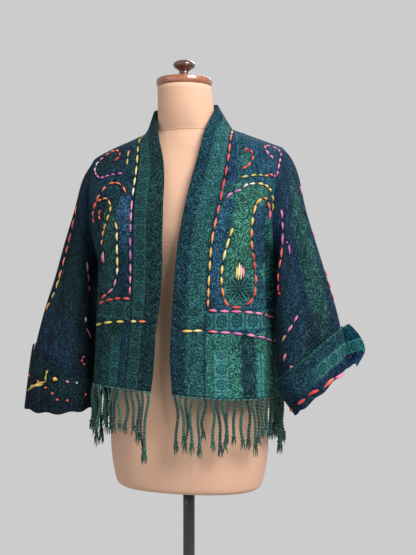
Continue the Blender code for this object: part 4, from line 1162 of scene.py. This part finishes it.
SLEEVE_STITCHES = {
    1: SLEEVE_PAISLEY + (
        (18, 5.0, "pink mauve mauve coral coral red red red",
         ((108, 48), (117, 66), (124, 84), (138, 102), (156, 120), (170, 140), (170, 156), (163, 172))),
        (15, 4.0, "mauve mauve", ((110, 113), (99, 130), (103, 146))),
        (0, 5.0, "pink", ((2, 92), (2, 106))),
        (0, 5.0, "pink", ((487, 168), (487, 182))),
        (20, 5.0, "red coral coral red", ((486, 232), (488, 258), (486, 276), (482, 292))),
        (22, 5.0, "hot pink olive", ((116, 250), (144, 257), (180, 264))),
        (0, 5.5, "coral pink", ((184, 305), (170, 295))),
        (0, 5.5, "pink hot", ((166, 326), (153, 333))),
        (0, 4.0, "red", ((148, 338), (144, 341))),
    ),
    -1: SLEEVE_PAISLEY + (
        (22, 4.5, "orange coral red coral orange yellow olive orange",
         ((40, 100), (54, 150), (57, 190), (52, 250), (40, 292))),
        (22, 4.5, "white mauve red", ((185, 58), (205, 84), (213, 112))),
        (0, 4.5, "cream pink", ((204, 190), (205, 206))),
        (0, 3.5, "hot", ((210, 216), (234, 238))),
        (14, 4.5, "red coral red", ((214, 298), (207, 312), (211, 322), (224, 324))),
    ),
}
SLEEVE_PATCHES = {
    1: (
        (46, 200, 28, 130, 0.07, GREEN, 0.6),
        (112, 110, 14, 60, 0.0, INK, 0.7),
        (96, 325, 26, 56, 0.0, DEEP, 0.8),
        (120, 330, 90, 56, 0.0, INK, 0.45),
        (150, 250, 40, 80, 0.0, TEAL, 0.6),
        (300, 200, 30, 120, 0.0, GREEN, 0.6),
        (400, 190, 34, 70, 0.0, TEAL, 0.7),
    ),
    -1: (
        (120, 190, 60, 110, 0.0, DEEP, 0.9),
        (130, 300, 50, 50, 0.0, NAVY, 0.8),
        (200, 220, 26, 160, 0.0, INK, 0.8),
        (300, 200, 30, 120, 0.0, GREEN, 0.6),
        (400, 190, 34, 70, 0.0, TEAL, 0.7),
    ),
}
SLEEVE_BLOOMS = ((90, 318, 34), (60, 96, 30), (300, 340, 30), (398, 190, 26))


def ring_points(table, angles, side):
    """Ellipses leaning in the sleeve's own direction; angle 0 is over the arm, a quarter turn is front."""
    ring = dict(zip(RING_COLUMNS, np.array(table).T))
    top = np.stack([ring["top_x"], ring["top_z"]], axis=-1)
    under = np.stack([ring["under_x"], ring["under_z"]], axis=-1)
    centre, reach = (top + under) / 2, (top - under) / 2
    c, s = np.cos(angles)[None, :], np.sin(angles)[None, :]
    return mirrored(stack(centre[:, :1] + reach[:, :1] * c,
                          ring["middle_y"][:, None] - ring["half_depth"][:, None] * s,
                          centre[:, 1:] + reach[:, 1:] * c - ring["front_drop"][:, None] * s), side)


def sleeve_folds(rings, angles):
    """Soft lengthwise folds: a bell shape round the sleeve for each, fading in and out by smooth steps."""
    depth = np.zeros((len(rings), len(angles)))
    for fold in named(SLEEVE_FOLD_COLUMNS, SLEEVE_FOLDS):
        profile = bell((np.degrees(angles) - fold["angle"]) / fold["width"])
        span = (rings - fold["from_ring"]) / (fold["to_ring"] - fold["from_ring"])
        fade = step(span / SPAN_FADE_IN) * step((SPAN_END - span) / SPAN_FADE_OUT)
        depth += fold["depth"] * fade[:, None] * profile[None, :]
    return depth


def waved_end(points, rings, angles, last):
    """The turned end waves up and down: a sine round the sleeve, fading in over the last ring."""
    wave = END_WAVE * np.sin(END_WAVES * angles)[None, :] * step(rings - last + 1)[:, None]
    return points + stack(0.0, 0.0, wave)


def sleeve_points(side):
    """A tube: smooth curves run from the points of the armhole through the same points of every ring, to the
    end that is turned back. Its folds and creases are pushed in or out."""
    table = LEFT_RINGS if side > 0 else RIGHT_RINGS
    turns = ARMHOLE_LEVELS * LEVEL_CUTS
    front_edge = fronts[side][:turns + 1, -1]
    back_edge = back[:turns + 1, 0 if side > 0 else -1]
    ring0 = np.vstack([front_edge, back_edge[turns - 1:0:-1]])
    angles = np.linspace(0, 2 * math.pi, len(ring0), endpoint=False)
    flat = np.concatenate([ring0[None], ring_points(table, angles, side)]).reshape(len(table) + 1, -1)
    points = smooth(flat, SLEEVE_CUTS).reshape(-1, len(ring0), 3)
    points = pushed(points, sleeve_folds(np.linspace(0, len(table), len(points)), angles), True, side > 0)
    creases = LEFT_SLEEVE_CREASES if side > 0 else RIGHT_SLEEVE_CREASES
    depth = crease_depths(points.shape[:2], SLEEVE_ACROSS, SLEEVE_DOWN, creases)
    points = pushed(points, depth, True, side > 0)
    return waved_end(points, np.linspace(0, len(table), len(points)), angles, len(table))


def sleeve_dyes(side):
    """The patches of one sleeve on its navy ground."""
    return lambda across, down: dyed(across, down, NAVY, SLEEVE_PATCHES[side])


def sleeve_repeat(u, v):
    """Even repeats round and down the sleeve."""
    return u / REPEAT_HEIGHT, v / REPEAT_HEIGHT


sleeves = {side: sleeve_points(side) for side in (1, -1)}
for side, name, length, area in ((1, "sleeve_left", 0.44, 0.147), (-1, "sleeve_right", 0.48, 0.166)):
    weave_piece(name + "_cloth", name, sleeves[side], sleeve_dyes(side), sleeve_repeat,
                SLEEVE_BLOOMS, SLEEVE_STITCHES[side],
                shade=SLEEVE_DYE_AND_PAINTED_SHADE[side], closed=True, flip=side > 0)

# The cuffs: each sleeve's end, slit at its outer side and turned back over the sleeve, so that the shawl's
# border of squares runs round it. The left one is stitched near its fold, the right one has a stitched bird.

# The gap to the sleeve: its wall in the solids, the gap to that, and what is added at the fold and the edge.
SLEEVE_WALL, WALL_GAP = 0.002, 0.0003
CUFF_STAND_OFF = (0.0008, 0.0045)
# How dark each cuff is: its own dye, and on the wearer's right also painted shade, as that side lies away
# from the key light.
CUFF_DYE_AND_PAINTED_SHADE = {1: 0.52, -1: 0.36}
CUFF_SPANS = 30
CUFF_CUTS = 24
CUFF_TROUGH = 0.002
FLARE_FROM, FLARE_OVER, FLARE_AT_ENDS = 250.0, 90.0, 0.3
LEFT_CUFF = {"depth": 1.50, "slit": 5.0, "flare": 0.038}
RIGHT_CUFF = {"depth": 1.15, "slit": 4.0, "flare": 0.004}
CUFF_SIDES = 220
CUFF_DOTS = ((32, 43), (70, 42), (94, 48), (113, 55), (126, 65), (148, 67), (190, 50), (230, 60), (270, 46),
             (310, 58), (350, 44), (390, 56))
CUFF_STITCHES = {
    1: (
        (33, 7.0, "hot red red red coral coral pink pink",
         ((160, 67), (124, 68), (99, 71), (67, 75), (39, 79), (14, 80))),
        (24, 6.0, "mauve pink coral", ((466, 56), (448, 58), (420, 60))),
        (24, 6.0, "coral red red pink mauve pink coral red", ((405, 64), (340, 68), (270, 70), (182, 68))),
    ),
    -1: tuple((0, 5.5, "coral", ((u, v), (u + 6, v + 1))) for u, v in CUFF_DOTS) + (
        (0, 9.0, "orange yellow", ((113, 23), (124, 23))),
        (0, 5.0, "pink", ((143, 20), (151, 20))),
        (0, 4.0, "white", ((166, 18), (171, 18))),
        (0, 5.0, "olive yellow", ((97, 13), (94, 24))),
        (0, 5.0, "olive", ((94, 22), (95, 38))),
        (0, 6.0, "olive yellow", ((94, 38), (66, 50))),
        (0, 6.0, "yellow pale", ((88, 44), (60, 55))),
        (0, 5.5, "olive yellow", ((74, 50), (44, 62))),
        (0, 5.0, "olive", ((64, 56), (36, 70))),
    ),
}
# On the wrong side of the left cuff, where its flap turns outwards.
FLAP_STITCHES = ((24, 6.5, "mauve mauve pink", ((396, 61), (420, 61), (446, 59))),)
# Stripes of the cuffs, in mm down from the free edge; the pale one is woven with squares near the slit. The
# left cuff's thin light stripe at its free edge is partly its woven edge and partly a painted highlight along
# the edge.
SQUARES_FROM, SQUARES_REACH, SQUARES_FADE = 27, 120, 50
LEFT_CUFF_BANDS = ((-9, 4, BORDER), (4, SQUARES_FROM, TEAL), (SQUARES_FROM, 56, PALE), (56, 200, NAVY))
RIGHT_CUFF_BANDS = ((0, 70, DEEP), (70, 200, INK))
CUFF_BAND_FADE = 3
# The flap is the left cuff's back edge: where it starts round the cuff, how much lighter its dye is painted,
# on both faces, as painted light for its inside, which lies in shade, and its point.
FLAP_FROM, FLAP_FADE, FLAP_PAINTED_LIGHT, FLAP_POINT = 385, 60, 0.8, 0.35


def cuff_points(side):
    """The turned-back end: rows run from its free edge down to the fold. They follow the sleeve's rings,
    moved out by a gap that grows evenly to the edge and flared at the flap by half a sine, half a tent."""
    shape = LEFT_CUFF if side > 0 else RIGHT_CUFF
    table = LEFT_RINGS if side > 0 else RIGHT_RINGS
    slit = math.radians(shape["slit"])
    angles = np.linspace(slit, 2 * math.pi - slit, CUFF_SIDES + 1)
    rings = ring_points(table, angles, side)
    fine = smooth(rings.reshape(len(table), -1), CUFF_CUTS).reshape(-1, len(angles), 3)
    place = np.linspace(len(table) - 1 - shape["depth"], len(table) - 1, CUFF_SPANS + 1)
    low = np.minimum((place * CUFF_CUTS).astype(int), len(fine) - 2)
    share = (place * CUFF_CUTS - low)[:, None, None]
    points = fine[low] * (1 - share) + fine[low + 1] * share
    up = np.linspace(1, 0, CUFF_SPANS + 1)[:, None]
    near_back_edge = step((np.degrees(angles)[None, :] - FLARE_FROM) / FLARE_OVER)
    wing = 0.5 * np.sin(math.pi * up) + 0.5 * (1 - np.abs(up - FLAP_POINT) / (1 - FLAP_POINT))
    flare = shape["flare"] * near_back_edge * (FLARE_AT_ENDS + (1 - FLARE_AT_ENDS) * wing)
    folds = np.maximum(sleeve_folds(place + 1, angles), -CUFF_TROUGH)
    at_fold, at_edge = CUFF_STAND_OFF
    stand = SLEEVE_WALL + WALL_GAP + at_fold + (at_edge - at_fold) * up
    return waved_end(pushed(points, folds + stand + flare, flip=side > 0), place + 1, angles, len(table))


def cuff_dyes(side):
    """Stripes round the cuff, down from its free edge; the pale one is woven with squares."""
    def colouring(across, down):
        """The dye follows the distance from the free edge."""
        u, v = np.meshgrid(across, down)
        dye = np.zeros((*u.shape, 3))
        rosette = np.zeros(u.shape)
        near = step((SQUARES_REACH - np.minimum(u, across[-1] - u)) / SQUARES_FADE)[..., None]
        for start, stop, colour in LEFT_CUFF_BANDS if side > 0 else RIGHT_CUFF_BANDS:
            inside = strip(v, start, stop, CUFF_BAND_FADE)
            if colour is PALE:
                colour = PALE * near + TEAL * (1 - near)
                rosette += inside * near[..., 0]
            dye += inside[..., None] * colour
        if side > 0:
            # Painted light: the flap's dye is lightened on both its faces, as the inside of the flap lies in
            # shade.
            dye *= 1 + FLAP_PAINTED_LIGHT * step((u[..., None] - FLAP_FROM) / FLAP_FADE)
        return dye, rosette
    return colouring


def cuff_repeat(u, v):
    """One row of squares in the pale stripe."""
    return u / NARROW_REPEAT, (v - SQUARES_FROM) / NARROW_REPEAT


cuffs = {side: cuff_points(side) for side in (1, -1)}
for side, name, under, length, area in ((1, "cuff_left", "sleeve_left_cloth", 0.095, 0.039),
                                        (-1, "cuff_right", "sleeve_right_cloth", 0.110, 0.0435)):
    weave_piece(name + "_cloth", name, cuffs[side], cuff_dyes(side), cuff_repeat, (),
                CUFF_STITCHES[side],
                shade=CUFF_DYE_AND_PAINTED_SHADE[side], flip=side > 0, inner_rows=FLAP_STITCHES if side > 0 else ())

# The fringe: the shawl's own warp ends, twisted in pairs of plies, knotted and left as small tufts.
# They hang from the turned edge of the hem, all round.

# Strands: one length for each cut's width along the hem, how closely they hang, and how far each sways.
CUT_SPACING, STRAND_SPACING = 0.0165, 0.0125
LEFT_STRANDS = (0.096, 0.090, 0.094, 0.086, 0.080, 0.104, 0.114, 0.110, 0.100, 0.086, 0.116, 0.114, 0.086,
                0.128, 0.118, 0.107, 0.120, 0.133)
RIGHT_STRANDS = (0.140, 0.146, 0.128, 0.104, 0.098, 0.094, 0.096, 0.098, 0.092, 0.096, 0.098, 0.094, 0.092,
                 0.098, 0.112, 0.150, 0.156, 0.150)
BACK_STRANDS = (0.128, 0.104, 0.116, 0.132, 0.096, 0.108, 0.092, 0.122, 0.100, 0.112)
STRAND_SWAY = (0.004, -0.003, 0.005, -0.005, 0.002, -0.004)
STRAND_WAVE, STRAND_PHASE, SWAY_OUT = 0.9, 0.25, 0.6
STRAND_STEPS = 40
LENGTH_CHANGE = 0.05
WIGGLE, WIGGLE_FROM = 0.0022, 0.1
# Strands that lean to their next neighbour and are knotted with it; how far over, from where and how soon.
LEFT_JOINS, RIGHT_JOINS, BACK_JOINS = (3, 12, 16), (0, 12), (5, 15, 22, 29)
JOIN_PULL, JOIN_FROM, JOIN_OVER = 0.42, 0.15, 0.5
# Plies: their sides, radius, the length of a whole turn, and how many radii they lie off the strand's line.
PLY_SIDES, PLY_RADIUS, PLY_TWIST, PLY_SPREAD = 5, 0.0022, 0.0130, 0.8
# Knots: how far down the strand, their radius, half height, share of a half circle, then rings and sides.
KNOT_AT, KNOT_RADIUS, KNOT_HALF_HEIGHT, KNOT_END = 0.80, 0.0050, 0.004, 0.96
KNOT_RINGS, KNOT_SIDES = 7, 7
# Tufts: their threads and rings, and how wide they start and spread; then each thread's turn and size.
TUFT_THREADS, TUFT_RINGS, TUFT_START, TUFT_SPREAD = 9, 7, 0.0010, 0.0036
THREAD_ANGLE, THREAD_RADIUS, THREAD_SIDES = 2.4, 0.0012, 4
# How much of the strand's dye shows in its knot and in its tuft.
KNOT_SHADE, TUFT_SHADE = 0.85, 1.1
EDGE_RADIUS, EDGE_SIDES = 0.0016, 6
HEM_DROP = 0.0003
DOWN = np.array([0.0, 0.0, -1.0])
YARN_GREEN = painted(32, 84, 66)
YARN_TEAL = painted(16, 54, 54)
FLECK_SCALE, FLECK_SHADE = 420.0, 2.1


def yarn_finish():
    """Soft twisted yarn, its dye flecked along its length."""
    made, tree, shader = new_finish("twisted_yarn", 0.85, Sheen_Weight=0.15, Sheen_Roughness=0.5)
    fleck = noise(tree, object_place(tree), FLECK_SCALE, 2.0)
    shade = maths(tree, "MULTIPLY", between(tree, fleck, 0.35, 0.65), FLECK_SHADE)
    coloured(tree, shader, scaled(tree, value_of(tree, "dye", "Color"), shade), fleck, 0.6, 0.0004)
    return made


yarn = yarn_finish()


def bars(paths, radii, along, out, sides):
    """Level rings of the given radius round each path, joined into closed bars: points, then faces."""
    count, steps = paths.shape[:2]
    turn = np.linspace(0, 2 * math.pi, sides, endpoint=False)
    ring = along[:, None] * np.cos(turn)[:, None] + out[:, None] * np.sin(turn)[:, None]
    points = paths[:, :, None] + ring[:, None] * np.broadcast_to(radii, (count, steps))[..., None, None]
    first = steps * sides * np.arange(count)[:, None, None]
    faces = (cells(steps, sides, closed=True)[None] + first).reshape(-1, 4).tolist()
    caps = np.stack([np.arange(sides)[::-1], steps * sides - sides + np.arange(sides)])
    return points, faces + (caps[None] + first).reshape(-1, sides).tolist()


def strand_lines(edge, lengths, joins):
    """The line of every strand: straight down from the edge, swayed by a sine and a small spiral, and pulled
    over to the strand that it is knotted with. Also gives its length and its two level directions."""
    run = running(np.linalg.norm(np.diff(edge, axis=0), axis=1))
    count = int(run[-1] / STRAND_SPACING)
    number = np.arange(count)
    at = (number + 0.5) * run[-1] / count
    root, ahead = (np.stack([np.interp(at + shift, run, edge[:, k]) for k in range(3)], axis=-1)
                   for shift in (0.0, 0.002))
    along = unit((ahead - root) * np.array([1, 1, 0]))
    out = np.cross(along, DOWN)
    length = np.array(lengths)[(at / CUT_SPACING).astype(int) % len(lengths)]
    length = length * (1 + LENGTH_CHANGE * np.sin(3.3 * number))
    sway = np.array(STRAND_SWAY)[number % len(STRAND_SWAY)]
    t = np.linspace(0, 1, STRAND_STEPS)[None, :]
    start = (STRAND_PHASE * (number % 3))[:, None]
    curl = sway[:, None] * (np.sin(math.pi * (STRAND_WAVE * t + start)) - np.sin(math.pi * start))
    lean = np.isin(number, joins) * 1.0 - np.isin(number - 1, joins) * 1.0
    pull = JOIN_PULL * run[-1] / count * lean[:, None] * step((t - JOIN_FROM) / JOIN_OVER)
    spiral = (along[:, None] * np.sin(8 * t + number[:, None])[..., None]
              + out[:, None] * np.cos(7 * t + number[:, None])[..., None])
    line = (root[:, None] + DOWN * (length[:, None] * t)[..., None]
            + (along + SWAY_OUT * out)[:, None] * curl[..., None] + along[:, None] * pull[..., None]
            + spiral * (WIGGLE * step(t / WIGGLE_FROM))[..., None])
    return line, length, along, out


def twisted_plies(line, length, along, out):
    """Two plies wound round each line, half a turn apart. Also gives their strands."""
    number = np.arange(len(line))
    t = np.linspace(0, 1, STRAND_STEPS)[None, :line.shape[1]]
    spin = (2 * math.pi * t * length[:, None] / PLY_TWIST + number[:, None])[:, None, :, None]
    wide = np.array([1.0, -1.0])[None, :, None, None] * PLY_RADIUS * PLY_SPREAD
    ply = line[:, None] + wide * (along[:, None, None] * np.cos(spin) + out[:, None, None] * np.sin(spin))
    twice = np.repeat(number, 2)
    ply = ply.reshape(-1, *line.shape[1:])
    return *bars(ply, PLY_RADIUS, along[twice], out[twice], PLY_SIDES), twice


def round_knots(middle, along, out):
    """A knot on each strand: rings whose radius follows a half circle. Also gives their strands."""
    beads = middle[:, None] + DOWN * np.linspace(-KNOT_HALF_HEIGHT, KNOT_HALF_HEIGHT, KNOT_RINGS)[:, None]
    girth = KNOT_RADIUS * np.sqrt(1 - np.linspace(-KNOT_END, KNOT_END, KNOT_RINGS) ** 2)
    return *bars(beads, girth, along, out, KNOT_SIDES), np.arange(len(middle))


def loose_tufts(middle, length, along, out):
    """Threads below each knot: each falls by its own length and spreads at its own angle, by a sine, and
    gets thinner. Also gives their strands."""
    many = np.repeat(np.arange(len(middle)), TUFT_THREADS)
    spread = np.arange(len(many)) * THREAD_ANGLE
    grow = np.linspace(0, 1, TUFT_RINGS)[None, :, None]
    fan = (along[many] * np.cos(spread)[:, None] + out[many] * np.sin(spread)[:, None])[:, None]
    tail = (1 - KNOT_AT) * length[many] * (0.75 + 0.25 * np.sin(spread * 1.9))
    tuft = (middle[many][:, None] + DOWN * tail[:, None, None] * grow
            + fan * (TUFT_START + TUFT_SPREAD * np.sin(1.9 * grow)))
    girth = THREAD_RADIUS * (1 - 0.5 * grow[..., 0])
    return *bars(tuft, girth, along[many], out[many], THREAD_SIDES), many


def hanging_fringe(name, node_name, edge, lengths, joins):
    """The strands along one edge: a strip below the hem, and from it plies, then a knot and a tuft."""
    line, length, along, out = strand_lines(edge, lengths, joins)
    shade = (0.5 + 0.5 * np.sin(2.6 * np.arange(len(line))))[:, None]
    dye = YARN_GREEN * shade + YARN_TEAL * (1 - shade)
    knot = int(KNOT_AT * STRAND_STEPS)
    middle = line[:, knot - 1]
    rim, rim_faces = tube(edge + DOWN * (HEM_DROP + EDGE_RADIUS), EDGE_RADIUS, EDGE_SIDES)
    first = rim.size // 3
    points, faces, dyes = [rim.reshape(-1, 3)], list(rim_faces), [np.tile(PALE, (first, 1))]
    for (block, block_faces, strands), tone in (
            (twisted_plies(line[:, :knot], length, along, out), 1.0),
            (round_knots(middle, along, out), KNOT_SHADE),
            (loose_tufts(middle, length, along, out), TUFT_SHADE)):
        points.append(block.reshape(-1, 3))
        faces += [[first + k for k in face] for face in block_faces]
        dyes.append(np.repeat(dye[strands] * tone, block.shape[1] * block.shape[2], axis=0))
        first += block.size // 3
    made = add_piece(name, np.concatenate(points), faces, yarn,
                     values={"dye": with_alpha(np.concatenate(dyes))})
    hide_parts(node_name)
    return made


for side, name, lengths, joins in ((1, "fringe_front_left", LEFT_STRANDS, LEFT_JOINS),
                                   (-1, "fringe_front_right", RIGHT_STRANDS, RIGHT_JOINS)):
    hem = np.vstack([fronts[side][-1, ::-1], bands[side][0, 1:]])
    hanging_fringe(name + "_yarn", name, hem, lengths, joins)
hanging_fringe("fringe_back_yarn", "fringe_back", back[-1], BACK_STRANDS, BACK_JOINS)

# The room: a plain pale floor under the stand, a pale grey backdrop and even light from all round.
# A broad key light stands at the front right, with a soft fill at the left and another light behind.
FLOOR_RADIUS = 1.45
FLOOR_LIGHT, FLOOR_DARK = (0.46, 0.46, 0.46), (0.43, 0.43, 0.43)
BACKDROP_GREY, ROOM_LIGHT = (0.604, 0.604, 0.604, 1), (0.95, 0.98, 1.0, 1)
BACKDROP_STRENGTH, ROOM_STRENGTH = 1.0, 0.50


def floor_finish():
    """Matt pale paint with a faint mottle."""
    made, tree, shader = new_finish("pale_floor", 0.9)
    mottle = noise(tree, object_place(tree), 3.0, 2.0)
    tree.links.new(mixed(tree, mottle, FLOOR_LIGHT, FLOOR_DARK), shader.inputs["Base Color"])
    return made


floor_mesh = bpy.data.meshes.new("floor")
turn = np.linspace(0, 2 * math.pi, TURNED_SIDES, endpoint=False)
floor_ring = FLOOR_RADIUS * stack(np.cos(turn), np.sin(turn), 0.0)
floor_mesh.from_pydata(floor_ring.tolist(), [], [list(range(TURNED_SIDES))])
floor_mesh.materials.append(floor_finish())
placed("floor", floor_mesh)

world = bpy.data.worlds.new("room")
bpy.context.scene.world = world
world.use_nodes = True
tree = world.node_tree
tree.nodes.clear()
backdrop = node(tree, "Background", {"Color": BACKDROP_GREY, "Strength": BACKDROP_STRENGTH}).outputs[0]
air = node(tree, "Background", {"Color": ROOM_LIGHT, "Strength": ROOM_STRENGTH}).outputs[0]
seen = node(tree, "LightPath", {}).outputs["Is Camera Ray"]
room = node(tree, "MixShader", {0: seen, 1: air, 2: backdrop}).outputs[0]
node(tree, "OutputWorld", {"Surface": room})

CAMERA_AZIMUTH, CAMERA_DISTANCE, CAMERA_HEIGHT, CAMERA_ASIDE = math.radians(18.0), 2.2, 1.046, 0.041
HALF_VIEW, SENSOR_WIDTH = 0.5966, 36.0
aside = np.array([math.cos(CAMERA_AZIMUTH), math.sin(CAMERA_AZIMUTH), 0.0])
away = np.array([math.sin(CAMERA_AZIMUTH), -math.cos(CAMERA_AZIMUTH), 0.0])
camera = placed("camera", bpy.data.cameras.new("camera"))
bpy.context.scene.camera = camera
camera.data.sensor_width = SENSOR_WIDTH
camera.data.lens = SENSOR_WIDTH / 2 * CAMERA_DISTANCE / HALF_VIEW
camera.location = aside * CAMERA_ASIDE + away * CAMERA_DISTANCE + np.array([0, 0, CAMERA_HEIGHT])
camera.rotation_euler = (math.pi / 2, 0.0, CAMERA_AZIMUTH)

LIGHT_COLUMNS = ("name", "azimuth", "elevation", "distance", "size", "power")
LIGHTS = (
    ("key", 53.0, 34.0, 3.0, 1.5, 134.0),
    ("fill", -35.0, 12.0, 3.2, 2.0, 16.0),
    ("back", 170.0, 40.0, 3.0, 1.5, 30.0),
)
LIT_POINT = np.array([0.0, 0.0, 1.05])
for light in named(LIGHT_COLUMNS, LIGHTS):
    lamp = placed(light["name"], bpy.data.lights.new(light["name"], "AREA"))
    lamp.data.size = light["size"]
    lamp.data.energy = light["power"]
    a, e = math.radians(light["azimuth"]), math.radians(light["elevation"])
    towards = np.array([math.sin(a) * math.cos(e), -math.cos(a) * math.cos(e), math.sin(e)])
    lamp.location = LIT_POINT + light["distance"] * towards
    lamp.rotation_euler = (math.pi / 2 - e, 0.0, a)

bpy.context.scene.view_settings.view_transform = "Standard"
